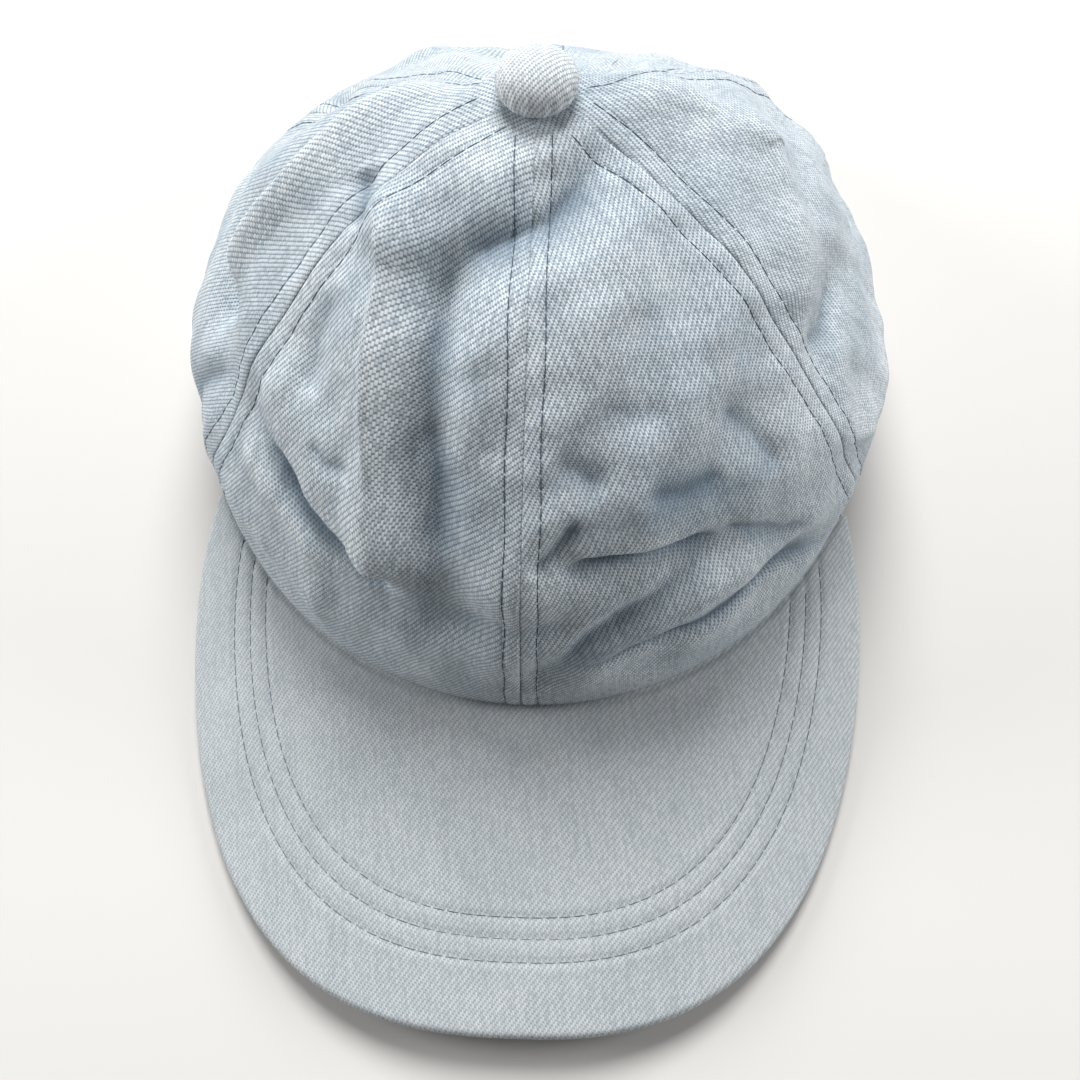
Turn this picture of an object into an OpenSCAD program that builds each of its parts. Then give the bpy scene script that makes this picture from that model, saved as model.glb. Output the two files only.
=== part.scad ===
// Soft six-panel cloth cap with a curved visor and a buckled strap across the rear opening.
// +Z is up, the visor points along -Y and +X is the wearer's left.
// The origin lies under the button, on the surface that the cap stands on.

/* [Crown] */
// Width of the crown at the hem
crown_w = 174; // [160:1:190]
// Reach of the hem in front of the button
crown_front = 97; // [90:1:104]
// Centre of the round rear hem, behind the button
rear_y = 8.5; // [6:0.5:12]
// Height of the crown's top above the surface
crown_h = 113; // [104:1:122]
// Height of the upright band that the hem holds
band_h = 22; // [20:0.5:25]
// Radius of the flat top that the button sits on
seat_r = 9; // [8:0.5:11]
// How far the side seams of the front bow towards the front, in degrees
seam_bow = 3; // [0:0.5:4]
// Fullness of the front's top curve, where 1 is straight and 2 is round
front_top_full = 2.05; // [1.6:0.05:2.4]
// Fullness of the sides' top curve
side_top_full = 1.9; // [1.5:0.05:2.3]
// Fullness of the slumped rear's top curve
rear_top_full = 1.03; // [1:0.01:1.4]
// Fullness of the front's rise from the band
front_rise_full = 1.33; // [1.1:0.01:1.8]
// Fullness of the sides' rise from the band
side_rise_full = 1.23; // [1.1:0.01:1.8]
// Fullness of the rear's rise from the band
rear_rise_full = 1.08; // [1.02:0.01:1.4]

/* [Folds] */
// Depth of the slack folds in the crown's cloth
fold_rise = 4; // [0:0.5:5]
// Half width of a broad fold
fold_w = 10; // [8:0.5:14]

/* [Cloth] */
// Thickness of a crown panel
panel_t = 1; // [0.8:0.1:1.4]
// Space between two panels at their seam
seam_gap = 0.2; // [0.1:0.05:0.4]
// Space between layers of cloth
layer_gap = 0.2; // [0.15:0.05:0.35]
// Space between a panel and the tape behind it
tape_gap = 0.6; // [0.5:0.05:0.7]
// Thickness of a seam tape and of the opening's binding
tape_t = 0.6; // [0.4:0.1:0.8]
// Width of a seam tape
tape_w = 12; // [8:0.5:13]
// Width of the opening's binding
binding_w = 8; // [6:0.5:10]
// Thickness of the sweatband
sweatband_t = 1; // [0.8:0.1:1.4]
// Height of the sweatband
sweatband_h = 28; // [24:1:32]

/* [Visor] */
// Width of the visor
visor_w = 166.5; // [160:0.5:172]
// Length of the visor in front of the hem
visor_len = 70; // [62:1:76]
// Thickness of the visor
visor_t = 3.4; // [3.2:0.1:4]
// Thickness of the visor's cloth covers
cover_t = 0.8; // [0.6:0.1:0.9]
// Radius that the visor is bent to across the head
visor_bend_r = 163; // [150:1:190]
// Fall of the visor towards its front edge, in degrees
visor_fall = 10.4; // [8:0.2:12]
// Where the visor's side edges begin, in front of the button
visor_root = 42; // [40:0.5:46]
// Fullness of the visor's outline across
visor_full_x = 2.5; // [2.2:0.05:2.9]
// Fullness of the visor's outline along
visor_full_y = 2.75; // [2.4:0.05:3]
// How far the visor's ends draw in towards the hem
visor_end_in = 4; // [0:0.5:5]
// How far the visor is tucked in under the hem
visor_tuck = 2.5; // [2:0.1:3]

/* [Button] */
// Diameter of the covered button
button_d = 16.2; // [15:0.2:18]
// Height of the covered button
button_h = 9.2; // [8:0.1:10]
// Thickness of the button's cloth
button_cloth_t = 0.8; // [0.6:0.1:1]
// Wall of the button's metal cup
cup_t = 0.6; // [0.4:0.1:0.7]
// Radius of the cup's barrel, which passes through the crown
barrel_r = 2; // [1.7:0.1:2.2]
// Radius of the tack's prong
prong_r = 1; // [0.8:0.1:1.2]
// Radius of the tack's disc inside the crown
tack_r = 7; // [6:0.5:8]
// Thickness of the tack's disc
tack_t = 0.8; // [0.6:0.1:1.2]

/* [Rear opening and strap] */
// Half of the rear opening's angle at the hem
opening_a = 32; // [29:0.5:35]
// Height of the rear opening's arch
opening_h = 52; // [46:1:58]
// Width of the strap
strap_w = 19; // [17:0.5:19]
// Thickness of the strap
strap_t = 1.6; // [1.2:0.1:1.8]
// Height of the strap's lower edge
strap_z = 3; // [2.5:0.25:3.5]
// Angle that the strap's sewn end runs past the opening's edge
strap_anchor_a = 22; // [18:1:26]
// Angle that the strap's loose end runs past the opening's edge
strap_tail_a = 24; // [20:1:28]
// Space that a moving piece has
move_gap = 0.3; // [0.25:0.05:0.4]

/* [Buckle] */
// Angle of the buckle's middle from the back of the crown
buckle_a = 18.5; // [17:0.5:19]
// Length of the buckle's plate
buckle_len = 24; // [22:0.5:25]
// Thickness of the buckle's plate and walls
buckle_t = 1; // [0.8:0.1:1.2]
// Radius of the lever's pin
pin_r = 0.85; // [0.7:0.05:1]
// Running clearance of the pin
pin_gap = 0.06; // [0.03:0.01:0.09]
// Radius of the bar that holds the loop
bar_r = 1; // [0.8:0.1:1.1]
// Thickness of the loop's cloth
loop_t = 0.6; // [0.5:0.1:0.7]
// Length of the lever from its pin
lever_len = 14; // [12:0.5:14.5]

/* [Hidden] */
$fn = 64;

denim = "#a9bacb";
denim_light = "#bcc7d2";
tape_cloth = "#8296ad";
brass = "#a08a5a";
steel = "#b5b8bc";

// The crown is measured by an azimuth a, 0 at the front and positive to the left, and a height
// share q that runs from 0 at the hem over band_q to 1 at the seat and seat_end at the hole.
crown_r = crown_w / 2;
panel_a = 360 / 6;
band_q = 0.18;
seat_end = 1.06;
temple_a = 63;
rear_flat_y = 45;
side_curve = 1.25;
temple_blend = 12;
rest_cut = 0.4;
fullness_blend = 1.5;
bow_w = 30;
hole_gap = 0.4;
hole_r = barrel_r + hole_gap;
belly_h = 0.3;
belly = [0, rear_y / 2, crown_h * belly_h];
fade_low = 0.1;
fade_high = 0.06;
step_a = 0.5;
step_q = 0.004;
tape_end_r = 18;
tape_start_h = 2;
tape_arch_gap = 2;
sweatband_lift = 1;
binding_low_q = 0.004;
binding_end_a = 89;

// Slack folds: points as [azimuth, height share], then shares of fold_rise and of fold_w.
folds = [
    [[[-54, 0.81], [-43, 0.79], [-34, 0.69], [-27, 0.57], [-22, 0.45]], 1.1, 0.6],
    [[[46, 0.93], [8, 0.9], [-20, 0.85], [-27, 0.79]], -1, 0.9],
    [[[-27, 0.79], [-22, 0.66], [-16, 0.5], [-12, 0.38]], -1.1, 0.8],
    [[[-58, 0.35], [-34, 0.31], [-15, 0.24]], -0.4, 1],
    [[[-56, 0.48], [-40, 0.46], [-26, 0.42], [-16, 0.3]], -0.5, 0.7],
    [[[-50, 0.56], [-38, 0.53], [-25, 0.48]], 0.5, 0.7],
    [[[56, 0.24], [36, 0.24], [16, 0.18]], -0.6, 0.9],
    [[[14, 0.27], [29, 0.36], [45, 0.34], [57, 0.27]], 0.6, 0.7],
    [[[54, 0.46], [34, 0.5], [12, 0.52]], 0.4, 0.9],
    [[[8, 0.47], [26, 0.45], [44, 0.36]], -0.6, 0.7],
    [[[3, 0.16], [12, 0.33], [30, 0.4]], -0.5, 0.7],
    [[[-11, 0.31], [-4, 0.35], [6, 0.36]], -0.3, 0.7],
    [[[-10, 0.43], [9, 0.43]], 0.2, 0.8],
    [[[100, 0.88], [90, 0.72], [72, 0.63]], 0.5, 0.9],
    [[[66, 0.55], [80, 0.54]], -0.6, 0.7],
    [[[62, 0.4], [70, 0.3], [86, 0.26]], 0.4, 0.8],
    [[[122, 0.7], [119, 0.58], [116, 0.48]], 0.6, 0.9],
    [[[106, 0.43], [94, 0.38], [84, 0.33]], -0.6, 0.9],
    [[[-97, 0.86], [-82, 0.77], [-77, 0.58]], 0.9, 0.7],
    [[[-102, 0.78], [-84, 0.6]], -0.7, 0.7],
    [[[-84, 0.56], [-75, 0.48]], -0.9, 0.7],
    [[[-66, 0.42], [-70, 0.2]], -0.4, 0.7],
    [[[-120, 0.56], [-106, 0.49], [-92, 0.42]], -0.8, 0.9],
    [[[-112, 0.86], [-112, 0.62]], -1, 1],
    [[[140, 0.86], [136, 0.74]], -1, 0.9],
    [[[-126, 0.9], [-134, 0.62]], -0.9, 1],
    [[[120, 0.55], [140, 0.46]], -0.5, 0.8],
    [[[-118, 0.6], [-142, 0.48]], -0.5, 0.8],
    [[[150, 0.84], [178, 0.64]], -0.8, 1],
    [[[152, 0.64], [170, 0.57]], -0.5, 0.9],
    [[[-150, 0.88], [-166, 0.66]], -0.6, 0.9],
];

panel_cols = 12;
band_rows = 4;
dome_rows = 16;
seat_rows = 2;
arch_cols = 8;
arch_side_cols = 5;
visor_cols = 28;
visor_rows = 8;
sweat_cols = 56;
binding_cols = 22;
binding_rows = 2;
lip_angles = [30, 60, 85];

strap_depth = panel_t + tape_t + 2 * tape_gap + 2 * loop_t + move_gap;
strap_out_r = crown_r - strap_depth;
strap_in_r = strap_out_r - strap_t;
strap_mid_z = strap_z + strap_w / 2;
sweat_depth = panel_t + tape_t + 2 * tape_gap;
sweat_rear_depth = strap_depth + strap_t + move_gap;
sweat_end_gap_a = 14;
sweat_end_a = 180 - opening_a - sweat_end_gap_a;
pocket_start_a = 90;
pocket_full_a = 105;

function clamp(v, low, high) = min(high, max(low, v));
function ease(v) = let (k = clamp(v, 0, 1)) k * k * (3 - 2 * k);
function unit(v) = v / norm(v);

// Plan of the hem: a longer half ellipse in front, a round half at the rear.
function hem_plan(a) = let (reach = cos(a) > 0 ? crown_front + rear_y : crown_r)
    [crown_r * sin(a), rear_y - reach * cos(a)];

// The visor is a sheet bent to one radius that falls towards its front.
temple_y = hem_plan(temple_a).y;
temple_x = hem_plan(temple_a).x;
function visor_rise(x, y) = sqrt(visor_bend_r * visor_bend_r - x * x)
    - sqrt(visor_bend_r * visor_bend_r - temple_x * temple_x) - (temple_y - y) * tan(visor_fall);
function visor_normal(x) = let (c = sqrt(visor_bend_r * visor_bend_r - x * x))
    unit([x / c, -tan(visor_fall), 1]);
visor_end_bend = 30;
function visor_edge(e) = [
    sign(e) * (visor_w / 2 * pow(abs(sin(e)), 2 / visor_full_x)
        - visor_end_in * pow(abs(e) / 90, visor_end_bend)),
    -visor_root - (crown_front + visor_len - visor_root) * pow(cos(e), 2 / visor_full_y)];
visor_low = min([for (e = [-90:3:90]) let (p = visor_edge(e))
    visor_rise(p.x, p.y) - visor_t * visor_normal(p.x).z]);
visor_base = -visor_low - rest_cut;
function visor_z(x, y) = visor_base + visor_rise(x, y);

// Height of the hem: on the visor in front, falling along the sides, flat on the surface behind.
function hem_z(p) = let (
        fall = clamp((rear_flat_y - p.y) / (rear_flat_y - temple_y), 0, 2),
        front = ease((temple_y + temple_blend - p.y) / (2 * temple_blend)))
    (1 - front) * visor_base * pow(fall, side_curve) + front * visor_z(p.x, p.y) + front * layer_gap;
function hem(a) = let (p = hem_plan(a)) [p.x, p.y, hem_z(p)];

function fullness(a, front, side, rear) = let (c = cos(a)) side
    + (front - side) * pow(max(0, c), fullness_blend)
    + (rear - side) * pow(max(0, -c), fullness_blend);
function top_full(a) = fullness(a, front_top_full, side_top_full, rear_top_full);
function rise_full(a) = fullness(a, front_rise_full, side_rise_full, rear_rise_full);

// The crown before its folds. Its side seams bow towards the front between hem and top.
function above_band(q) = clamp((q - band_q) / (1 - band_q), 0, 1);
function bowed(a, q) = let (rise = above_band(q))
    a - sign(a) * seam_bow * 4 * rise * (1 - rise) * exp(-pow((abs(a) - panel_a) / bow_w, 2));
function dome(a, q) = let (
        b = bowed(a, q),
        h = hem(b),
        reach = norm([h.x, h.y]),
        th = 90 * above_band(q),
        out = seat_r + (reach - seat_r) * pow(cos(th), 2 / top_full(b)),
        r = q > 1 ? seat_r + (hole_r - seat_r) * (q - 1) / (seat_end - 1) : out,
        band_z = h.z + band_h * min(1, q / band_q),
        z = band_z + (crown_h - band_z) * pow(sin(th), 2 / rise_full(b)))
    [h.x / reach * r, h.y / reach * r, z];

function q_at_height(a, h) = h <= band_h ? band_q * h / band_h
    : band_q + (1 - band_q) / 90
        * asin(pow((h - band_h) / (crown_h - hem(a).z - band_h), rise_full(a) / 2));
function q_at_radius(a, r) = let (h = hem(a))
    band_q + (1 - band_q) / 90
        * acos(pow((r - seat_r) / (norm([h.x, h.y]) - seat_r), top_full(a) / 2));

fold_lines = [for (f = folds) [[for (p = f[0]) dome(p[0], p[1])], f[1], fold_w * f[2]]];
function off_line(p, s, e) = let (d = e - s, k = clamp((p - s) * d / (d * d), 0, 1))
    norm(p - s - k * d);
function fold_off(p, line) = min([for (i = [0:len(line) - 2]) off_line(p, line[i], line[i + 1])]);
function fold_sum(p, i = 0) = i == len(fold_lines) ? 0
    : let (fold = fold_lines[i])
        fold[1] * exp(-pow(fold_off(p, fold[0]) / fold[2], 2)) + fold_sum(p, i + 1);
function crown(a, q) = let (
        p = dome(a, q),
        fade = ease(q / fade_low - 0.5) * ease((1 - q) / fade_high))
    fade == 0 ? p : p + fold_rise * fade * fold_sum(p) * unit(p - belly);

// Point at a depth below the crown's outer face.
function under(a, q, depth) = let (
        p = crown(a, q),
        along = crown(a + step_a, q) - crown(a - step_a, q),
        up = crown(a, min(seat_end, q + step_q)) - crown(a, max(0, q - step_q)))
    p + depth * unit(cross(up, along));

// Closed sheet between two grids of points, outer and inner, of the same size.
module sheet(outer, inner) {
    rows = len(outer);
    cols = len(outer[0]);
    count = rows * cols;
    function at(r, c) = r * cols + c;
    skin = [for (r = [0:rows - 2], c = [0:cols - 2])
        each [[at(r, c), at(r + 1, c), at(r + 1, c + 1)], [at(r, c), at(r + 1, c + 1), at(r, c + 1)]]];
    lining = [for (t = skin) [t[2] + count, t[1] + count, t[0] + count]];
    rim = concat(
        [for (c = [0:cols - 2]) [at(0, c), at(0, c + 1)]],
        [for (r = [0:rows - 2]) [at(r, cols - 1), at(r + 1, cols - 1)]],
        [for (c = [cols - 1:-1:1]) [at(rows - 1, c), at(rows - 1, c - 1)]],
        [for (r = [rows - 1:-1:1]) [at(r, 0), at(r - 1, 0)]]);
    walls = [for (e = rim)
        each [[e[0], e[1], e[1] + count], [e[0], e[1] + count, e[0] + count]]];
    polyhedron(points = concat([for (row = outer) each row], [for (row = inner) each row]),
        faces = concat(skin, lining, walls));
}

// Rows of a panel, from the hem to the hole.
panel_q = concat(
    [for (i = [0:band_rows - 1]) band_q * i / band_rows],
    [for (i = [0:dome_rows - 1]) band_q + (1 - band_q) * i / dome_rows],
    [for (i = [0:seat_rows]) 1 + (seat_end - 1) * i / seat_rows]);
arch_q = q_at_height(180, opening_h);

// The panels' own rows between two heights, so that layers of cloth bend along the same lines.
function rows_between(from, to) = concat([from], [for (q = panel_q) if (q > from && q < to) q], [to]);

// Lower edge of a panel at an azimuth, which the arch of the rear opening lifts.
function arch_start(a) = let (off = (180 - abs(a)) / opening_a)
    off < 1 ? arch_q * sqrt(1 - off * off) : 0;
function seam_shift(a, side) = side * seam_gap / 2 * [cos(a), sin(a), 0];

// A panel covers the azimuths in the list, which rise from its right seam to its left seam.
module panel(azimuths) {
    last = len(azimuths) - 1;
    function grid(depth) = [for (q = panel_q) [for (i = [0:last]) let (
            a = azimuths[i],
            start = arch_start(a),
            shift = i == 0 ? seam_shift(a, 1) : i == last ? seam_shift(a, -1) : [0, 0, 0])
        under(a, start + q * (seat_end - start) / seat_end, depth) + shift]];
    sheet(grid(0), grid(panel_t));
}

function spread(from, to, steps) = [for (i = [0:steps]) from + (to - from) * i / steps];
rear_azimuths = concat(
    spread(2 * panel_a, 180 - opening_a, arch_side_cols),
    [for (i = [1:arch_cols]) 180 - opening_a * cos(90 * i / arch_cols)]);
rear_right_azimuths = [for (i = [len(rear_azimuths) - 1:-1:0]) -rear_azimuths[i]];

module front_left_panel() {
    color(denim) panel(spread(0, panel_a, panel_cols));
}

module front_right_panel() {
    color(denim) panel(spread(-panel_a, 0, panel_cols));
}

module side_left_panel() {
    color(denim) panel(spread(panel_a, 2 * panel_a, panel_cols));
}

module side_right_panel() {
    color(denim) panel(spread(-2 * panel_a, -panel_a, panel_cols));
}

module rear_left_panel() {
    color(denim) panel(rear_azimuths);
}

module rear_right_panel() {
    color(denim) panel(rear_right_azimuths);
}

// Point on the panels' own facets, a distance to one side of an azimuth.
column_a = panel_a / panel_cols;
function beside(a, side, q, depth, left) = let (
        p = under(a, q, depth),
        next = under(a + side * column_a, q, depth),
        span = norm(next - p))
    left <= span ? p + (next - p) * left / span
        : beside(a + side * column_a, side, q, depth, left - span);

// Tape that covers a seam inside the crown, from the hem or the arch to the tack.
module seam_tape(a) {
    depth = panel_t + tape_gap;
    start = arch_start(a) > 0 ? arch_q + (binding_w + tape_arch_gap) / crown_h
        : q_at_height(a, tape_start_h);
    finish = q_at_radius(a, tape_end_r);
    function grid(d) = [for (q = rows_between(start, finish)) [for (k = [-1:0.5:1])
        beside(a, k < 0 ? -1 : 1, q, d, abs(k) * tape_w / 2)]];
    color(tape_cloth) sheet(grid(depth), grid(depth + tape_t));
}

module front_seam_tape() {
    seam_tape(0);
}

module front_left_seam_tape() {
    seam_tape(panel_a);
}

module front_right_seam_tape() {
    seam_tape(-panel_a);
}

module rear_left_seam_tape() {
    seam_tape(2 * panel_a);
}

module rear_right_seam_tape() {
    seam_tape(-2 * panel_a);
}

module rear_seam_tape() {
    seam_tape(180);
}

// Band inside the hem, which stands off at the rear to leave the strap its pockets.
module sweatband() {
    azimuths = spread(-sweat_end_a, sweat_end_a, sweat_cols);
    function depth(a) = sweat_depth + (sweat_rear_depth - sweat_depth)
        * ease((abs(a) - pocket_start_a) / (pocket_full_a - pocket_start_a));
    low = band_q * sweatband_lift / band_h;
    high = q_at_height(0, sweatband_h);
    function grid(d) = [for (q = rows_between(low, high)) [for (a = azimuths)
        under(a, q, depth(a) + d)]];
    color(denim_light) sheet(grid(0), grid(sweatband_t));
}

// Binding along the inside of the rear opening's arch.
module opening_binding() {
    depth = panel_t + tape_gap;
    function point(e, w, d) = under(
        180 + (opening_a + w / crown_r * 180 / PI) * sin(e),
        binding_low_q + (arch_q + w / crown_h) * cos(e), d);
    function grid(d) = [for (w = spread(0, binding_w, binding_rows))
        [for (e = spread(-binding_end_a, binding_end_a, binding_cols)) point(e, w, d)]];
    color(tape_cloth) sheet(grid(depth), grid(depth + tape_t));
}

// Point of the visor: e along the outline, k from the hem to the edge, then inset and depth.
function visor_point(e, k, inset, depth) = let (
        h = hem_plan(temple_a * e / 90),
        root = h * (1 - visor_tuck / norm(h)),
        edge = visor_edge(e),
        hub = [0, -visor_root],
        tip = hub + (edge - hub) * (1 - inset / norm(edge - hub)),
        p = root + (tip - root) * k,
        v = [p.x, p.y, visor_z(p.x, p.y)] - depth * visor_normal(p.x))
    [v.x, v.y, max(0, v.z)];
function visor_grid(rows) = [for (r = rows) [for (e = spread(-90, 90, visor_cols))
    visor_point(e, r[0], r[1], r[2])]];
visor_mid = visor_t / 2;

// Rows of a cover whose edge is turned down to the visor's middle, at a lip radius.
function cover_rows(lip) = concat(
    [for (k = spread(0, 1, visor_rows)) [k, visor_mid, visor_mid - lip]],
    [for (g = lip_angles) [1, visor_mid - lip * sin(g), visor_mid - lip * cos(g)]]);
function flip(rows) = [for (r = rows) [r[0], r[1], visor_t - r[2]]];

module visor_top_cover() {
    color(denim_light) sheet(visor_grid(cover_rows(visor_mid)),
        visor_grid(cover_rows(visor_mid - cover_t)));
}

module visor_bottom_cover() {
    color(denim_light) sheet(visor_grid(flip(cover_rows(visor_mid - cover_t))),
        visor_grid(flip(cover_rows(visor_mid))));
}

// Stiff board between the covers.
module visor_board() {
    depth = cover_t + layer_gap;
    function rows(d) = [for (k = spread(0, 1, visor_rows)) [k, visor_mid + layer_gap, d]];
    color("white") sheet(visor_grid(rows(depth)), visor_grid(rows(visor_t - depth)));
}

// Half outline of a button's dome, as points from its rim to its top.
dome_steps = 12;
dome_round = 0.95;
function dome_outline(r, h) = [for (i = [0:dome_steps]) let (t = 90 * i / dome_steps)
    [r * pow(cos(t), dome_round), rim_z + (h - rim_z) * sin(t)]];
function reversed(list) = [for (i = [len(list) - 1:-1:0]) list[i]];

button_z = crown_h + layer_gap;
button_r = button_d / 2;
rim_z = 3;
rim_round = 1.6;
turn_in = 3;
cup_r = button_r - button_cloth_t - layer_gap / 2;
cup_h = button_h - button_cloth_t - layer_gap / 2;
prong_hole_r = prong_r + layer_gap / 2;
prong_reach = 1.6;

// Cloth drawn over the button's cup and turned in under its rim.
module button_cover() {
    inner_r = button_r - button_cloth_t;
    color(denim_light) translate([0, 0, button_z]) rotate_extrude() polygon(concat(
        [[inner_r - turn_in, 0], [button_r - rim_round, 0]],
        dome_outline(button_r, button_h),
        reversed(dome_outline(inner_r, button_h - button_cloth_t)),
        [[inner_r - rim_round, button_cloth_t], [inner_r - turn_in, button_cloth_t]]));
}

// Metal cup with its back plate and the barrel that passes through the crown.
module button_cup() {
    plate_z = button_cloth_t + layer_gap / 2;
    barrel_end = -panel_t - layer_gap;
    color(steel) translate([0, 0, button_z]) rotate_extrude() polygon(concat(
        [[prong_hole_r, barrel_end], [barrel_r, barrel_end], [barrel_r, plate_z],
            [cup_r - rim_round, plate_z]],
        dome_outline(cup_r, cup_h),
        reversed(dome_outline(cup_r - cup_t, cup_h - cup_t)),
        [[cup_r - cup_t - rim_round, plate_z + cup_t], [prong_hole_r, plate_z + cup_t]]));
}

// Tack that is pressed into the barrel from inside the crown.
module button_tack() {
    disc_z = crown_h - panel_t - layer_gap - tack_t;
    prong_h = tack_t + panel_t + 2 * layer_gap + prong_reach;
    color(steel) {
        translate([0, 0, disc_z]) cylinder(r = tack_r, h = tack_t);
        translate([0, 0, disc_z]) cylinder(r = prong_r, h = prong_h);
    }
}

// Strap across the rear opening, an arc about the round rear hem's own axis.
module strap() {
    sweep = 2 * opening_a + strap_anchor_a + strap_tail_a;
    color(denim) translate([0, rear_y, strap_z]) rotate([0, 0, 90 - opening_a - strap_tail_a])
        rotate_extrude(angle = sweep) translate([strap_in_r, 0]) square([strap_t, strap_w]);
}

// The buckle's own frame: x along the strap to the left, y outwards from the strap's axis.
wall_gap = 0.5;
bar_inset = 1.5;
bar_lift = 0.6;
pin_inset = 5.5;
pin_lift = 3;
ear_wall = 1.5;
boss_wall = 1.1;
boss_slope = 3.5;
toe_h = 2;
knuckle_wall = 1.05;
nose_root_w = 1.8;
nose_tip_w = 1;
tip_len = 4;
tip_lift = 1.4;
head_wall = 0.6;
head_t = 0.6;
loop_eye_gap = 0.15;
loop_join_a = 1.5;
loop_sewn_a = 10;
loop_inset = 0.5;
wall_z = strap_w / 2 + wall_gap;
plate_y = sqrt(strap_in_r * strap_in_r - buckle_len * buckle_len / 4) - move_gap;
bar_x = buckle_len / 2 - bar_inset;
bar_y = strap_out_r + move_gap + bar_r + loop_t + bar_lift;
pin_x = -buckle_len / 2 + pin_inset;
pin_y = strap_out_r + pin_lift;
ear_r = pin_r + ear_wall;
boss_r = bar_r + boss_wall;
knuckle_r = pin_r + knuckle_wall;

module at_buckle() {
    translate([0, rear_y, strap_mid_z]) rotate([0, 0, -buckle_a]) children();
}

module buckle_wall() {
    back = plate_y - buckle_t;
    linear_extrude(buckle_t) difference() {
        union() {
            polygon([[-buckle_len / 2, back], [buckle_len / 2, back], [buckle_len / 2, bar_y],
                [bar_x, bar_y], [bar_x - boss_slope, strap_out_r], [pin_x + ear_r, strap_out_r],
                [pin_x + ear_r, pin_y], [pin_x - ear_r, pin_y], [-buckle_len / 2, plate_y + toe_h]]);
            translate([pin_x, pin_y]) circle(ear_r);
            translate([bar_x, bar_y]) circle(boss_r);
        }
        translate([pin_x, pin_y]) circle(pin_r + pin_gap);
    }
}

// Plate behind the strap, two walls with the lever's ears, and the bar for the loop.
module buckle_frame() {
    color(brass) at_buckle() {
        translate([-buckle_len / 2, plate_y - buckle_t, -wall_z])
            cube([buckle_len, buckle_t, 2 * wall_z]);
        translate([0, 0, wall_z]) buckle_wall();
        translate([0, 0, -wall_z - buckle_t]) buckle_wall();
        translate([bar_x, bar_y, -wall_z]) cylinder(r = bar_r, h = 2 * wall_z);
    }
}

// Lever that turns on the pin, with the nose that clamps the strap and a lifted tip.
module buckle_lever() {
    half = wall_z - move_gap;
    nose_y = sqrt(strap_out_r * strap_out_r - pin_x * pin_x) + move_gap;
    top = pin_y + knuckle_r;
    tip = pin_x + lever_len;
    color(brass) at_buckle() translate([0, 0, -half]) linear_extrude(2 * half) difference() {
        union() {
            translate([pin_x, pin_y]) circle(knuckle_r);
            polygon([[pin_x - nose_root_w / 2, pin_y], [pin_x - nose_tip_w / 2, nose_y],
                [pin_x + nose_tip_w / 2, nose_y], [pin_x + nose_root_w / 2, pin_y]]);
            polygon([[pin_x, top - buckle_t], [tip - tip_len, top - buckle_t],
                [tip, top - buckle_t + tip_lift], [tip, top + tip_lift],
                [tip - tip_len, top], [pin_x, top]]);
        }
        translate([pin_x, pin_y]) circle(pin_r + pin_gap);
    }
}

module buckle_pin() {
    reach = wall_z + buckle_t + layer_gap;
    color(brass) at_buckle() translate([pin_x, pin_y, 0]) {
        cylinder(r = pin_r, h = 2 * reach, center = true);
        for (side = [-1, 1])
            translate([0, 0, side * (reach + head_t / 2)])
                cylinder(r = pin_r + head_wall, h = head_t, center = true);
    }
}

// Loop of cloth around the buckle's bar, sewn in under the left rear panel.
loop_eye_r = bar_r + loop_eye_gap;
loop_in_r = strap_out_r + move_gap;
loop_out_r = loop_in_r + 2 * loop_t;
loop_w = strap_w - 2 * loop_inset;

module loop_tail(from, to) {
    steps = 8;
    polygon(concat(
        [for (t = spread(from, to, steps)) loop_in_r * [sin(t), cos(t)]],
        [for (t = spread(to, from, steps)) loop_out_r * [sin(t), cos(t)]]));
}

module buckle_loop() {
    bar_a = atan(bar_x / bar_y);
    tail_a = opening_a + loop_sewn_a - buckle_a;
    color(denim) at_buckle() translate([0, 0, -loop_w / 2]) linear_extrude(loop_w) difference() {
        union() {
            hull() {
                translate([bar_x, bar_y]) circle(loop_eye_r + loop_t);
                loop_tail(bar_a, bar_a + loop_join_a);
            }
            loop_tail(bar_a, tail_a);
        }
        translate([bar_x, bar_y]) circle(loop_eye_r);
    }
}

front_left_panel();
front_right_panel();
side_left_panel();
side_right_panel();
rear_left_panel();
rear_right_panel();
front_seam_tape();
front_left_seam_tape();
front_right_seam_tape();
rear_left_seam_tape();
rear_right_seam_tape();
rear_seam_tape();
sweatband();
opening_binding();
visor_top_cover();
visor_board();
visor_bottom_cover();
button_cover();
button_cup();
button_tack();
strap();
buckle_loop();
buckle_frame();
buckle_lever();
buckle_pin();
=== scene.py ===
"""Soft six-panel cap in washed denim: its cloth, stitching, metal and light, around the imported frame."""
import math

import bmesh
import bpy
import numpy as np
from mathutils import Matrix, Vector


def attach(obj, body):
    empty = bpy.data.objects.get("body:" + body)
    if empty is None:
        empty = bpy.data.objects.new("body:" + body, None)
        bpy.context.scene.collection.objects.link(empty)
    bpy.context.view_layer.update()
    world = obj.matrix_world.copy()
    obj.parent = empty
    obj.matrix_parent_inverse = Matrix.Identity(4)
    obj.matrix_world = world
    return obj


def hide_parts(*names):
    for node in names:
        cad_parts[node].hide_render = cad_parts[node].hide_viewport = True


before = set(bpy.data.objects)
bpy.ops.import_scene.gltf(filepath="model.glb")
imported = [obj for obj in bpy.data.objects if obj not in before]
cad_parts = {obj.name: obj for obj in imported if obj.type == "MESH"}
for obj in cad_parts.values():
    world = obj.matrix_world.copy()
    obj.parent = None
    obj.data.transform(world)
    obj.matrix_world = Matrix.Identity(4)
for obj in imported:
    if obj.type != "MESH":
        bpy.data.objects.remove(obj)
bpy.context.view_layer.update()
mm = 0.001

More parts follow.
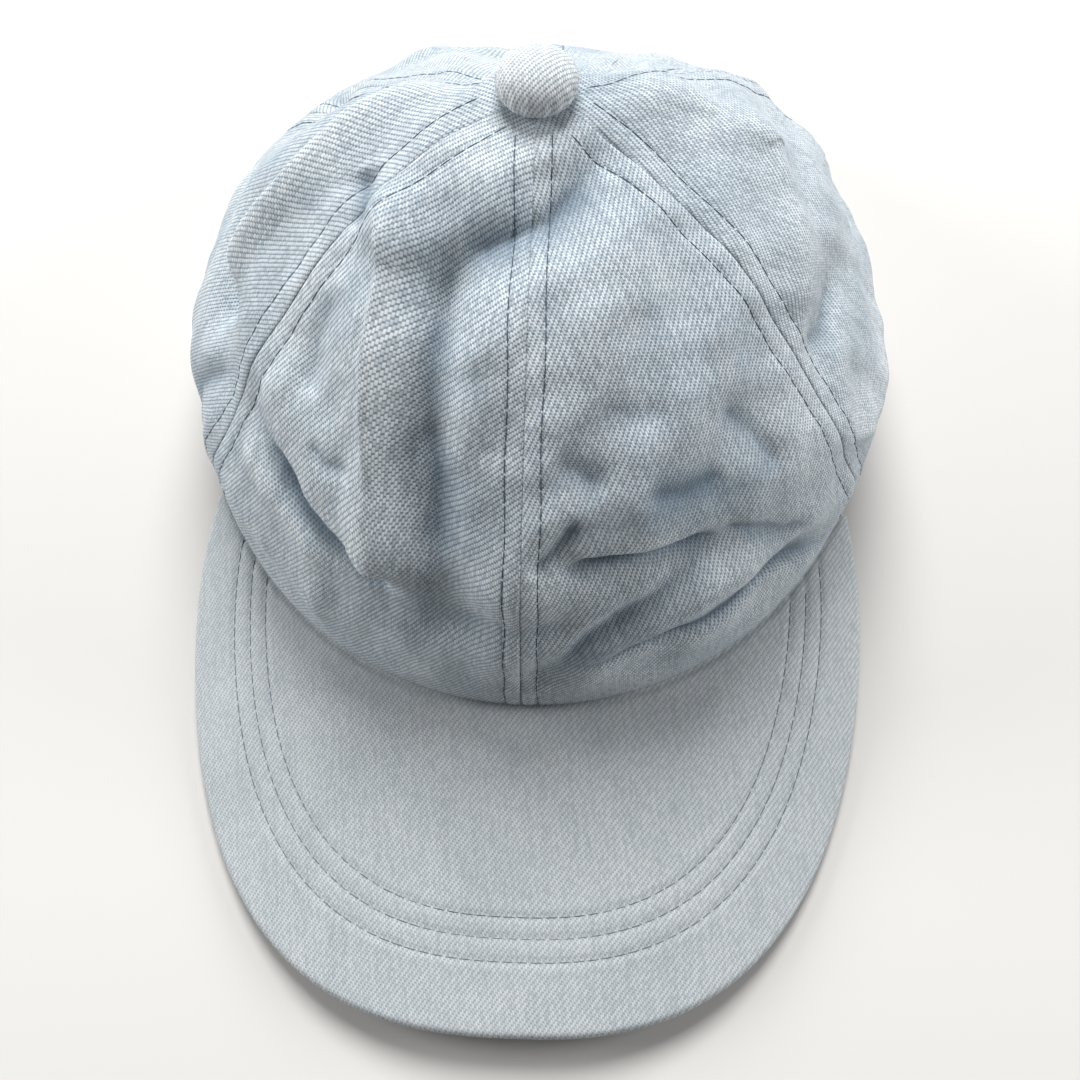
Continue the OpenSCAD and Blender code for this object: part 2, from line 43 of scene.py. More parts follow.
# Driving sizes, the same as the solids have. Lengths are metres and angles are degrees.
crown_r = 87 * mm
crown_front = 97 * mm
rear_y = 8.5 * mm
crown_h = 113 * mm
band_h = 22 * mm
seat_r = 9 * mm
hole_r = 2.4 * mm
top_full = (2.05, 1.9, 1.03)
rise_full = (1.33, 1.23, 1.08)
fullness_blend = 1.5
band_q = 0.18
seat_end = 1.06
temple_a = 63
temple_blend = 12 * mm
rear_flat_y = 45 * mm
side_curve = 1.25
seam_bow = 3
bow_w = 30
rest_cut = 0.4 * mm
layer_gap = 0.2 * mm
tape_gap = 0.6 * mm
panel_t = 1 * mm
panel_a = 60
tape_t = 0.6 * mm
tape_w = 12 * mm
tape_end_r = 18 * mm
binding_w = 8 * mm
sweatband_t = 1 * mm
sweatband_h = 28 * mm
visor_w = 166.5 * mm
visor_len = 70 * mm
visor_t = 3.4 * mm
visor_mid = visor_t / 2
cover_t = 0.8 * mm
visor_bend_r = 163 * mm
visor_fall = math.tan(math.radians(10.4))
visor_root = 42 * mm
visor_full = (2.5, 2.75)
visor_end_in = 4 * mm
visor_end_bend = 30
visor_tuck = 2.5 * mm
button_r = 8.1 * mm
button_h = 9.2 * mm
button_z = crown_h + layer_gap
opening_a = 32
opening_h = 52 * mm
strap_w = 19 * mm
strap_t = 1.6 * mm
strap_z = 3 * mm
strap_out_r = 82.7 * mm
strap_anchor_a = 22
strap_tail_a = 24
loop_t = 0.6 * mm
loop_inset = 0.5 * mm
loop_eye_gap = 0.15 * mm
loop_sewn_a = 10
move_gap = 0.3 * mm
buckle_a = 18.5
buckle_len = 24 * mm
bar_inset = 1.5 * mm
bar_r = 1 * mm
bar_lift = 0.6 * mm

# Slack folds that the solids have too: points as (azimuth, height share), then the rise and the half
# width in millimetres.
slack_folds = [
    ([(-54, 0.81), (-43, 0.79), (-34, 0.69), (-27, 0.57), (-22, 0.45)], 4.4, 6),
    ([(46, 0.93), (8, 0.9), (-20, 0.85), (-27, 0.79)], -4.0, 9),
    ([(-27, 0.79), (-22, 0.66), (-16, 0.5), (-12, 0.38)], -4.4, 8),
    ([(-58, 0.35), (-34, 0.31), (-15, 0.24)], -1.6, 10),
    ([(-56, 0.48), (-40, 0.46), (-26, 0.42), (-16, 0.3)], -2.0, 7),
    ([(-50, 0.56), (-38, 0.53), (-25, 0.48)], 2.0, 7),
    ([(56, 0.24), (36, 0.24), (16, 0.18)], -2.4, 9),
    ([(14, 0.27), (29, 0.36), (45, 0.34), (57, 0.27)], 2.4, 7),
    ([(54, 0.46), (34, 0.5), (12, 0.52)], 1.6, 9),
    ([(8, 0.47), (26, 0.45), (44, 0.36)], -2.4, 7),
    ([(3, 0.16), (12, 0.33), (30, 0.4)], -2.0, 7),
    ([(-11, 0.31), (-4, 0.35), (6, 0.36)], -1.2, 7),
    ([(-10, 0.43), (9, 0.43)], 0.8, 8),
    ([(100, 0.88), (90, 0.72), (72, 0.63)], 2.0, 9),
    ([(66, 0.55), (80, 0.54)], -2.4, 7),
    ([(62, 0.4), (70, 0.3), (86, 0.26)], 1.6, 8),
    ([(122, 0.7), (119, 0.58), (116, 0.48)], 2.4, 9),
    ([(106, 0.43), (94, 0.38), (84, 0.33)], -2.4, 9),
    ([(-97, 0.86), (-82, 0.77), (-77, 0.58)], 3.6, 7),
    ([(-102, 0.78), (-84, 0.6)], -2.8, 7),
    ([(-84, 0.56), (-75, 0.48)], -3.6, 7),
    ([(-66, 0.42), (-70, 0.2)], -1.6, 7),
    ([(-120, 0.56), (-106, 0.49), (-92, 0.42)], -3.2, 9),
    ([(-112, 0.86), (-112, 0.62)], -4.0, 10),
    ([(140, 0.86), (136, 0.74)], -4.0, 9),
    ([(-126, 0.9), (-134, 0.62)], -3.6, 10),
    ([(120, 0.55), (140, 0.46)], -2.0, 8),
    ([(-118, 0.6), (-142, 0.48)], -2.0, 8),
    ([(150, 0.84), (178, 0.64)], -3.2, 10),
    ([(152, 0.64), (170, 0.57)], -2.0, 9),
    ([(-150, 0.88), (-166, 0.66)], -2.4, 9),
]

# Sharper creases on top of them: such a line, then in millimetres the rise, the half widths to its left
# and right as it is drawn and seen from outside, and how far it leans to the right.
creases = [
    ([(-56, 0.815), (-47, 0.805), (-41, 0.78), (-37, 0.74), (-33, 0.68), (-27, 0.58),
      (-23, 0.48)], 2.0, 5, 1.8, 1.6),
    ([(-71, 0.81), (-63, 0.8), (-55, 0.77)], -2.4, 3.5, 3.5, 0),
    ([(54, 0.935), (26, 0.927), (7, 0.897), (-11, 0.87), (-20, 0.85), (-28, 0.79)], -2.4, 7, 2.5, 0),
    ([(-25, 0.82), (-26, 0.76), (-23, 0.7), (-20, 0.63), (-16, 0.55), (-14, 0.46),
      (-11, 0.36)], -1.8, 5, 2.5, 0),
    ([(-101, 0.88), (-82, 0.78), (-78, 0.69), (-77, 0.58), (-76, 0.5)], 1.5, 4, 2.5, 1.4),
    ([(-106, 0.82), (-89, 0.69), (-82, 0.58)], -1.6, 3, 3, 0),
    ([(-86, 0.57), (-78, 0.52), (-73, 0.46)], -3.0, 2.5, 2.5, 0),
    ([(-60, 0.55), (-50, 0.515), (-44, 0.497), (-38, 0.472), (-33, 0.458), (-28, 0.455),
      (-23, 0.44), (-20, 0.4)], 1.2, 5, 2.5, 2.2),
    ([(-60, 0.49), (-50, 0.463), (-44, 0.445), (-38, 0.42), (-33, 0.407), (-28, 0.407),
      (-25, 0.4), (-22, 0.38), (-20, 0.34)], -2.8, 1.8, 3, 0),
    ([(-58, 0.42), (-44, 0.4), (-30, 0.35)], 1.2, 3, 4, 0),
    ([(-42, 0.54), (-36, 0.53), (-30, 0.55)], -1.3, 2, 2, 0),
    ([(4, 0.17), (11, 0.193), (17, 0.205), (23, 0.209), (29, 0.207), (35, 0.2), (40, 0.186),
      (45, 0.165), (50, 0.13), (57, 0.07)], -2.6, 6, 1.5, 0),
    ([(4, 0.152), (11, 0.175), (17, 0.187), (23, 0.191), (29, 0.189), (35, 0.182), (40, 0.168),
      (45, 0.147), (50, 0.112), (57, 0.055)], 1.0, 1.2, 6, -1.6),
    ([(4, 0.465), (12, 0.47), (18, 0.467), (26, 0.447), (36, 0.42)], -3.0, 2, 2.2, 0),
    ([(6, 0.5), (14, 0.5), (24, 0.48), (33, 0.46)], 0.5, 4, 2.2, 1.6),
    ([(4, 0.53), (12, 0.53), (24, 0.52), (36, 0.5), (50, 0.46)], -1.2, 8, 7, 0),
    ([(33, 0.45), (38, 0.42), (44, 0.36), (50, 0.33)], -1.8, 2, 2.4, 0),
    ([(0, 0.11), (9, 0.3), (16, 0.36), (22, 0.387), (35, 0.43)], -1.4, 3, 4, 0),
    ([(3, 0.2), (8, 0.34), (15, 0.4), (24, 0.42)], 0.7, 3, 2.5, 0.8),
    ([(-14, 0.28), (-5, 0.35), (2, 0.347), (9, 0.375)], -0.9, 4, 5, 0),
    ([(1, 0.47), (5, 0.5), (10, 0.55)], -1.9, 2, 2, 0),
    ([(5, 0.62), (10, 0.6), (15, 0.57)], -1.5, 4, 4, 0),
    ([(20, 0.56), (28, 0.54), (38, 0.52)], -1.9, 4, 3, 0),
    ([(40, 0.62), (45, 0.55), (47, 0.47)], -1.5, 3.5, 3.5, 0),
    ([(14, 0.68), (22, 0.65), (31, 0.64)], -0.9, 4, 4, 0),
    ([(-52, 0.72), (-50, 0.64), (-46, 0.57)], -1.2, 4, 4, 0),
    ([(-14, 0.74), (-8, 0.66), (-7, 0.6)], -1.0, 3.5, 3.5, 0),
    ([(104, 0.9), (91, 0.72), (79, 0.68), (68, 0.62)], 0.8, 5, 4, 0.8),
    ([(64, 0.56), (70, 0.53), (82, 0.54)], -1.6, 2.5, 2.5, 0),
    ([(-65, 0.46), (-72, 0.3), (-70, 0.16)], -1.6, 3, 3, 0),
    ([(60, 0.42), (70, 0.3), (90, 0.25)], 1.2, 5, 2.5, 1.8),
    ([(64, 0.32), (74, 0.22), (92, 0.18)], -2.0, 2.2, 2.6, 0),
    ([(118, 0.57), (132, 0.47), (142, 0.46)], -1.4, 3.5, 3.5, 0),
    ([(-116, 0.62), (-130, 0.5), (-144, 0.48)], -1.4, 3.5, 3.5, 0),
    ([(148, 0.9), (165, 0.74), (180, 0.62)], -1.2, 4, 4, 0),
]

# Folds and creases push the cloth away from a point in the crown, and fade out to the hem and the button
# over these shares of the height. A valley is sharper than a crest, and both taper at their ends.
belly = np.array([0, rear_y / 2, 0.3 * crown_h])
fade_low = 0.1
fade_high = 0.06
crease_power = 1.4
crest_power = 2
crease_taper = 4

# Slight crumple all over: the length and rise of each wave, in millimetres.
crumple_sizes = [(34, 0.5), (27, 0.45), (22, 0.4), (18, 0.3), (15, 0.22), (12, 0.16), (10, 0.12),
                 (8, 0.08)]
crumple_seed = 4

# The bend above the hem band is eased over a share of the height, which shrinks near the hem and the top.
band_ease = 0.07
band_ease_low = 0.1
band_ease_high = 0.2
band_ease_steps = [(-1, 0.15), (-0.5, 0.22), (0, 0.26), (0.5, 0.22), (1, 0.15)]

# Sewing: the round of the turned hem, the stitch rows beside the crown's seams, and the visor's rows by
# their inset at its side and its front.
hem_roll = 1.6 * mm
stitch_off = 4 * mm
stitch_len = 3.1 * mm
stitch_gap = 0.3 * mm
thread_r = 0.12 * mm
stitch_steps = np.array([0, 0.18, 0.5, 0.82, 1])
stitch_lift = thread_r * np.array([-0.8, 0.4, 0.5, 0.4, -0.8])
visor_rows = [(11.3 * mm, 15.6 * mm), (15.4 * mm, 20.4 * mm), (19.4 * mm, 24.9 * mm)]

# What sewing does to the cloth, each as a height and a half width: the pinched seam, the pad beside it,
# the pressed row and its puckers, the dip of the visor under the hem, its quilting and its pressed rows.
pinch_depth, pinch_w = 0.3 * mm, 0.4 * mm
pad_rise, pad_w, pad_off = 0.06 * mm, 1.5 * mm, 2.2 * mm
press_depth, press_w = 0.2 * mm, 0.6 * mm
pucker_rise, pucker_w, pucker_len = 0.14 * mm, 2.5 * mm, 1.05 * mm
seam_fade_w = 8 * mm
hem_dip, hem_dip_w = 0.7 * mm, 0.9 * mm
quilt_rise, quilt_w = 0.16 * mm, 2.2 * mm
row_depth, row_w = 0.42 * mm, 0.7 * mm

# Paleness of the cloth, partly wear and partly painted light: the crease height at which a crease's tone
# is full (valleys painted darker as shade, crests paler as wear and painted highlight), how much the
# seams' edges bleach and over what width, and how much painted shade darkens the hem where it sits on the
# visor, up to the temples.
# Crease height at which the painted crease shade and crest paleness are full.
crease_tone_height = 2.5 * mm
seam_wear, seam_wear_w = 0.1, 1.6 * mm
# Painted contact shadow along the hem's foot where it sits on the visor, and the azimuth over which it
# fades.
hem_painted_shade, hem_shade_fade_a = 1.5, 6


def ease(v):
    k = np.clip(v, 0, 1)
    return k * k * (3 - 2 * k)


def length(v):
    return np.linalg.norm(v, axis=-1)


def unit(v):
    return v / length(v)[..., None]


def hem_plan(a):
    """Plan of the hem at an azimuth, 0 in front and growing to the wearer's left."""
    turn = np.radians(a)
    reach = np.where(np.cos(turn) > 0, crown_front + rear_y, crown_r)
    return crown_r * np.sin(turn), rear_y - reach * np.cos(turn)


temple_x, temple_y = (float(v) for v in hem_plan(temple_a))


def visor_rise(x, y):
    bend = np.sqrt(visor_bend_r**2 - x * x) - math.sqrt(visor_bend_r**2 - temple_x**2)
    return bend - (temple_y - y) * visor_fall


def visor_normal(x):
    slope = x / np.sqrt(visor_bend_r**2 - x * x)
    return unit(np.stack([slope, np.full_like(slope, -visor_fall), np.ones_like(slope)], -1))


def visor_outline(e, side_in=0, front_in=0):
    """Plan of the visor's edge for e from -90 to 90, or of a row that runs inside it."""
    turn = np.radians(e)
    x = (visor_w / 2 - side_in) * np.abs(np.sin(turn)) ** (2 / visor_full[0])
    x = np.sign(e) * (x - visor_end_in * (np.abs(e) / 90) ** visor_end_bend)
    reach = crown_front + visor_len - visor_root - front_in
    return x, -visor_root - reach * np.maximum(0, np.cos(turn)) ** (2 / visor_full[1])


outline_e = np.linspace(-90, 90, 61)
outline_x, outline_y = visor_outline(outline_e)
lip_low = visor_rise(outline_x, outline_y) - visor_t * visor_normal(outline_x)[:, 2]
visor_base = -rest_cut - lip_low.min()


def hem_height(x, y):
    fall = np.clip((rear_flat_y - y) / (rear_flat_y - temple_y), 0, 2)
    front = ease((temple_y + temple_blend - y) / (2 * temple_blend))
    on_visor = visor_base + visor_rise(np.clip(x, -crown_r, crown_r), y) + layer_gap
    return (1 - front) * visor_base * fall**side_curve + front * on_visor


def fullness(a, front, side, rear):
    c = np.cos(np.radians(a))
    return (side + (front - side) * np.maximum(0, c) ** fullness_blend
            + (rear - side) * np.maximum(0, -c) ** fullness_blend)


def dome(a, q):
    """The crown before its folds: q runs from 0 at the hem to 1 at the button's seat."""
    a, q = np.broadcast_arrays(np.asarray(a, float), np.asarray(q, float))
    rise = np.clip((q - band_q) / (1 - band_q), 0, 1)
    bow = seam_bow * 4 * rise * (1 - rise) * np.exp(-((np.abs(a) - panel_a) / bow_w) ** 2)
    a = a - np.sign(a) * bow
    x, y = hem_plan(a)
    low = hem_height(x, y)
    reach = np.hypot(x, y)
    turn = np.radians(90) * rise
    out = seat_r + (reach - seat_r) * np.maximum(0, np.cos(turn)) ** (2 / fullness(a, *top_full))
    r = np.where(q > 1, seat_r + (hole_r - seat_r) * (q - 1) / (seat_end - 1), out)
    band_z = low + band_h * np.minimum(1, q / band_q)
    z = band_z + (crown_h - band_z) * np.sin(turn) ** (2 / fullness(a, *rise_full))
    return np.stack([x / reach * r, y / reach * r, z], -1)


def slack_dome(a, q):
    """The same form with the bend above the hem band eased, as cloth has it."""
    q = np.asarray(q, float)
    reach = band_ease * np.clip(np.minimum(q / band_ease_low, (1 - q) / band_ease_high), 0, 1)
    return sum(share * dome(a, q + step * reach) for step, share in band_ease_steps)


def near_line(p, knots, out):
    """Distance of points from a line of knots, how far along it they lie, whether they are to its right,
    and which way that is."""
    best = np.full(p.shape[:-1], np.inf)
    on_right = np.zeros(p.shape[:-1], bool)
    right_way = np.zeros_like(p)
    reach = np.zeros(p.shape[:-1])
    for i, (start, end) in enumerate(zip(knots[:-1], knots[1:])):
        along = end - start
        share = np.clip((p - start) @ along / (along @ along), 0, 1)
        off = p - start - share[..., None] * along
        right = unit(np.cross(along, out))
        closer = length(off) < best
        best = np.where(closer, length(off), best)
        reach = np.where(closer, (i + share) / (len(knots) - 1), reach)
        on_right = np.where(closer, (off * right).sum(-1) > 0, on_right)
        right_way = np.where(closer[..., None], right, right_way)
    return best, reach, on_right, right_way


fold_lines = [(dome(*np.transpose(line)), rise * mm, wide * mm) for line, rise, wide in slack_folds]
crease_lines = [(dome(*np.transpose(line)), rise * mm, left * mm, right * mm, lean * mm)
                for line, rise, left, right, lean in creases]
crumple_rng = np.random.default_rng(crumple_seed)
crumple_waves = [(unit(crumple_rng.normal(size=3)) * 2 * math.pi / (size * mm),
                  crumple_rng.uniform(0, 6.3), rise * mm) for size, rise in crumple_sizes]


def folded(a, q):
    """The crown's cloth with its folds, creases and slight crumple, and the height of its creases."""
    p = slack_dome(a, q)
    q = np.broadcast_to(q, p.shape[:-1])
    out = unit(p - belly)
    shift = np.zeros_like(p)
    edge = np.zeros(p.shape[:-1])
    for knots, rise, wide in fold_lines:
        off = near_line(p, knots, out)[0]
        shift += (rise * np.exp(-(off / wide) ** 2))[..., None] * out
    for knots, rise, left, right, lean in crease_lines:
        off, reach, on_right, right_way = near_line(p, knots, out)
        power = crest_power if rise > 0 else crease_power
        share = np.exp(-(off / np.where(on_right, right, left)) ** power)
        share = share * ease(crease_taper * reach) * ease(crease_taper * (1 - reach))
        shift += share[..., None] * (rise * out + lean * right_way)
        edge += share * rise
    for wave, phase, rise in crumple_waves:
        shift += (rise * np.sin(p @ wave + phase))[..., None] * out
    fade = ease(q / fade_low - 0.5) * ease((1 - q) / fade_high)
    return p + fade[..., None] * shift, fade * edge


def from_seam(a, p):
    """Distance of a crown point from the nearest panel seam."""
    off = np.radians(np.abs(a - panel_a * np.round(a / panel_a)))
    return off * np.hypot(p[..., 0], p[..., 1])


def seam_relief(off, p):
    """Felled seam: a pinched line, a padded strip on each side, and the stitch row pressed in."""
    from_row = off - stitch_off
    pinch = -pinch_depth * np.exp(-(off / pinch_w) ** 2)
    pad = pad_rise * np.exp(-((off - pad_off) / pad_w) ** 2)
    press = -press_depth * np.exp(-(from_row / press_w) ** 2)
    pucker = pucker_rise * np.sin(p[..., 2] / pucker_len) * np.exp(-(from_row / pucker_w) ** 2)
    fade = ease((np.hypot(p[..., 0], p[..., 1]) - seat_r) / seam_fade_w)
    return fade * (pinch + pad + press + pucker)


def crown_cloth(a, q):
    """Outer face of the crown's cloth, and its paleness there from -1 to 1: bleached seam edges, creases
    painted darker as shade in their valleys and paler on their crests as wear and painted highlight, and
    painted shade on the hem where it sits on the visor.
    """
    a, q = np.broadcast_arrays(np.asarray(a, float), np.asarray(q, float))
    p, edge = folded(a, q)
    off = from_seam(a, p)
    relief = seam_relief(off, p)
    out = unit(p - belly)
    from_hem = q * crown_h / hem_roll
    hem_in = hem_roll * (1 - np.sqrt(1 - np.clip(1 - from_hem, 0, 1) ** 2))
    # Painted contact shadow on the hem above the visor, fading out at the temples.
    over_visor = ease((temple_a - np.abs(a)) / hem_shade_fade_a + 0.5)
    # Crease valleys painted dark as shade, crests pale as wear and painted highlight, seam edges pale as
    # wear.
    wear_and_shade = (edge / crease_tone_height + seam_wear * np.exp(-((off - seam_wear_w) / seam_wear_w) ** 2)
            - hem_painted_shade * over_visor * np.exp(-from_hem**2))
    return p + (relief - hem_in)[..., None] * out, np.clip(wear_and_shade, -1, 1)


def surface_normal(shape, a, q, step_a=0.3, step_q=0.003):
    right = shape(a + step_a, q) - shape(a - step_a, q)
    up = shape(a, np.minimum(seat_end, q + step_q)) - shape(a, np.maximum(0, q - step_q))
    return unit(np.cross(right, up))


def crown_under(a, q, depth):
    """Point inside the crown, at a depth below its folded cloth."""
    a, q = np.broadcast_arrays(np.asarray(a, float), np.asarray(q, float))

    def shape(b, r):
        return folded(b, r)[0]

    return shape(a, q) - np.asarray(depth)[..., None] * surface_normal(shape, a, q, 1.5, 0.008)


def q_at_height(a, h):
    if h <= band_h:
        return band_q * h / band_h
    room = crown_h - float(hem_height(*hem_plan(a))) - band_h
    lift = ((h - band_h) / room) ** (float(fullness(a, *rise_full)) / 2)
    return band_q + (1 - band_q) / 90 * math.degrees(math.asin(lift))


def q_at_radius(a, r):
    reach = float(np.hypot(*hem_plan(a)))
    share = ((r - seat_r) / (reach - seat_r)) ** (float(fullness(a, *top_full)) / 2)
    return band_q + (1 - band_q) / 90 * math.degrees(math.acos(share))


arch_q = q_at_height(180, opening_h)


def arch_start(a):
    """Lower edge of the crown's cloth, which the arch of the rear opening lifts."""
    off = np.minimum(1, (180 - np.abs(a)) / opening_a)
    return arch_q * np.sqrt(1 - off * off)


def visor_point(e, k, inset, depth):
    """Point of the visor: e along its outline, k from the hem to the edge, then inset and depth."""
    e, k, inset, depth = np.broadcast_arrays(e, k, inset, depth)
    root = np.stack(hem_plan(temple_a * e / 90), -1)
    root = root * (1 - visor_tuck / length(root))[..., None]
    edge = np.stack(visor_outline(e), -1)
    hub = np.array([0, -visor_root])
    tip = hub + (edge - hub) * (1 - inset / length(edge - hub))[..., None]
    p = root + (tip - root) * k[..., None]
    top = np.concatenate([p, (visor_base + visor_rise(p[..., 0], p[..., 1]))[..., None]], -1)
    v = top - depth[..., None] * visor_normal(p[..., 0])
    v[..., 2] = np.maximum(0, v[..., 2])
    return v


visor_stitch_e = np.linspace(-90, 90, 241)
visor_stitch_plans = [np.stack(visor_outline(visor_stitch_e, *row), -1) for row in visor_rows]


def hem_share(p):
    """How far out a point lies in plan, where 1 is on the front hem."""
    return np.hypot(p[..., 0] / crown_r, (p[..., 1] - rear_y) / (crown_front + rear_y))


def visor_relief(p):
    """Quilting of the visor: the cloth dips under the crown's hem and into the stitch rows."""
    relief = -hem_dip * np.exp(-((hem_share(p) - 1) * crown_front / hem_dip_w) ** 2)
    flat = p[..., :2].reshape(-1, 2)
    for plan in visor_stitch_plans:
        best = np.full(len(flat), np.inf)
        for start, end in zip(plan[:-1], plan[1:]):
            along = end - start
            share = np.clip((flat - start) @ along / max(along @ along, 1e-12), 0, 1)
            best = np.minimum(best, length(flat - start - share[:, None] * along))
        best = best.reshape(relief.shape)
        relief += quilt_rise * np.exp(-(best / quilt_w) ** 2) - row_depth * np.exp(-(best / row_w) ** 2)
    return relief


def linear(code):
    """Linear colour, with alpha, of an sRGB hex code."""
    parts = [int(code[i:i + 2], 16) / 255 for i in (1, 3, 5)]
    return [v / 12.92 if v <= 0.04045 else ((v + 0.055) / 1.055) ** 2.4 for v in parts] + [1]


def add(tree, kind, inputs=None, **settings):
    """Adds a node with its settings. An input that is a socket is linked, and any other is set."""
    made = tree.nodes.new(kind)
    for name, value in settings.items():
        setattr(made, name, value)
    for name, value in (inputs or {}).items():
        if isinstance(value, bpy.types.NodeSocket):
            tree.links.new(value, made.inputs[name])
        else:
            made.inputs[name].default_value = value
    return made


def new_material(name):
    made = bpy.data.materials.new(name)
    made.use_nodes = True
    made.node_tree.nodes.clear()
    return made, made.node_tree


# Light denim is a warp-faced 2/1 twill: each end floats over two picks and dips under the third, one
# pick higher than its neighbour, so its ridges climb to the right, 0.95 mm apart.
end_pitch = 0.45 * mm
pick_pitch = 0.45 * mm
float_picks = 3


def washed_denim(name, groove, ridge, relief, mottle):
    """Stone-washed indigo twill: pale worn floats over bluer grooves, with cloudy bleached patches.

    groove and ridge are each a pair of colours, for blue and for bleached cloth. The surface is
    matt and a little hairy, so it has no gloss and a slight sheen.
    """
    made, tree = new_material(name)
    cloth = add(tree, "ShaderNodeUVMap", uv_map="cloth").outputs["UV"]
    wander = add(tree, "ShaderNodeTexNoise", {"Vector": cloth, "Scale": 1 / (3 * mm), "Detail": 2.0})
    drawn = add(tree, "ShaderNodeVectorMath", {
        0: wander.outputs["Color"], 1: [0.4 * mm] * 3, 2: cloth}, operation="MULTIPLY_ADD")
    yarns = add(tree, "ShaderNodeVectorMath", {
        0: drawn.outputs[0], 1: (1 / end_pitch, 1 / pick_pitch, 0)}, operation="MULTIPLY")
    yarns = add(tree, "ShaderNodeSeparateXYZ", {"Vector": yarns.outputs[0]})
    end = add(tree, "ShaderNodeMath", {0: yarns.outputs["X"]}, operation="FLOOR")
    across = add(tree, "ShaderNodeMath", {0: yarns.outputs["X"], 1: 0.5}, operation="PINGPONG")
    step = add(tree, "ShaderNodeMath", {0: yarns.outputs["Y"], 1: end.outputs[0]}, operation="SUBTRACT")
    cycle = add(tree, "ShaderNodeMath", {0: step.outputs[0], 1: 1 / float_picks}, operation="MULTIPLY")
    float_no = add(tree, "ShaderNodeMath", {0: cycle.outputs[0]}, operation="FLOOR")
    along = add(tree, "ShaderNodeMath", {0: cycle.outputs[0], 1: 0.5}, operation="PINGPONG")
    crest = add(tree, "ShaderNodeMapRange", {
        "Value": along.outputs[0], "From Min": 0.04, "From Max": 0.27}, interpolation_type="SMOOTHSTEP")
    rounding = add(tree, "ShaderNodeMapRange", {
        "Value": across.outputs[0], "From Max": 0.3, "To Min": 0.45})
    height = add(tree, "ShaderNodeMath", {
        0: crest.outputs["Result"], 1: rounding.outputs["Result"]}, operation="MULTIPLY")

    # Each float has its own paleness, each end its own slubs, and loose fibres blur both.
    which = add(tree, "ShaderNodeCombineXYZ", {"X": end.outputs[0], "Y": float_no.outputs[0]})
    chance = add(tree, "ShaderNodeTexWhiteNoise", {"Vector": which.outputs[0]}, noise_dimensions="2D")
    pale = add(tree, "ShaderNodeMath", {
        0: chance.outputs["Value"], 1: 0.6, 2: 0.5}, operation="MULTIPLY_ADD")
    pale = add(tree, "ShaderNodeMath", {0: pale.outputs[0], 1: height.outputs[0]}, operation="MULTIPLY")
    fuzz = add(tree, "ShaderNodeTexNoise", {"Vector": cloth, "Scale": 1 / (0.6 * mm), "Detail": 3.0})
    pale = add(tree, "ShaderNodeMath", {
        0: fuzz.outputs["Fac"], 1: 0.8, 2: pale.outputs[0]}, operation="MULTIPLY_ADD")
    streak = add(tree, "ShaderNodeVectorMath", {
        0: cloth, 1: (1 / (0.9 * mm), 1 / (22 * mm), 0)}, operation="MULTIPLY")
    slubs = add(tree, "ShaderNodeTexNoise", {"Vector": streak.outputs[0], "Scale": 1.0, "Detail": 3.0})
    pale = add(tree, "ShaderNodeMath", {
        0: slubs.outputs["Fac"], 1: 0.6, 2: pale.outputs[0]}, operation="MULTIPLY_ADD")
    pale = add(tree, "ShaderNodeMath", {
        0: pale.outputs[0], 1: 0.62}, operation="SUBTRACT", use_clamp=True)

    # Painted shade darkens crease valleys and the hem over the visor towards the groove colour; crests
    # turn paler as wear and painted highlight, and seam edges as wear.
    wear_and_shade = add(tree, "ShaderNodeAttribute", attribute_name="wear_and_shade")
    # Painted shade: negative values darken the cloth towards its groove colour.
    painted_shade = add(tree, "ShaderNodeMapRange", {
        "Value": wear_and_shade.outputs["Fac"], "From Min": -1.0, "From Max": -0.2, "To Min": 0.3, "To Max": 1.0})
    pale = add(tree, "ShaderNodeMath", {
        0: pale.outputs[0], 1: painted_shade.outputs["Result"]}, operation="MULTIPLY")
    place = add(tree, "ShaderNodeTexCoord").outputs["Object"]
    clouds = add(tree, "ShaderNodeTexNoise", {
        "Vector": place, "Scale": 1 / (24 * mm), "Detail": 5.0, "Roughness": 0.6, "Distortion": 0.6})
    tone = add(tree, "ShaderNodeMapRange", {
        "Value": clouds.outputs["Fac"], "From Min": 0.34, "From Max": 0.66,
        "To Min": 0.5 - mottle, "To Max": 0.5 + mottle})
    tone = add(tree, "ShaderNodeMath", {
        0: wear_and_shade.outputs["Fac"], 1: 0.4, 2: tone.outputs["Result"]},
        operation="MULTIPLY_ADD", use_clamp=True)
    low = add(tree, "ShaderNodeMix", {
        0: tone.outputs[0], 6: linear(groove[0]), 7: linear(groove[1])}, data_type="RGBA")
    high = add(tree, "ShaderNodeMix", {
        0: tone.outputs[0], 6: linear(ridge[0]), 7: linear(ridge[1])}, data_type="RGBA")
    colour = add(tree, "ShaderNodeMix", {
        0: pale.outputs[0], 6: low.outputs[2], 7: high.outputs[2]}, data_type="RGBA")
    bump = add(tree, "ShaderNodeBump", {
        "Strength": 1.0, "Distance": relief, "Height": height.outputs[0]})
    shade = add(tree, "ShaderNodeBsdfPrincipled", {
        "Base Color": colour.outputs[2], "Roughness": 0.92, "Specular IOR Level": 0.2,
        "Sheen Weight": 0.08, "Sheen Roughness": 0.6, "Normal": bump.outputs["Normal"]})
    add(tree, "ShaderNodeOutputMaterial", {"Surface": shade.outputs["BSDF"]})
    return made


# Bands per length of the wave pattern at a scale of 1.
wave_turns = 2 * math.pi / 20


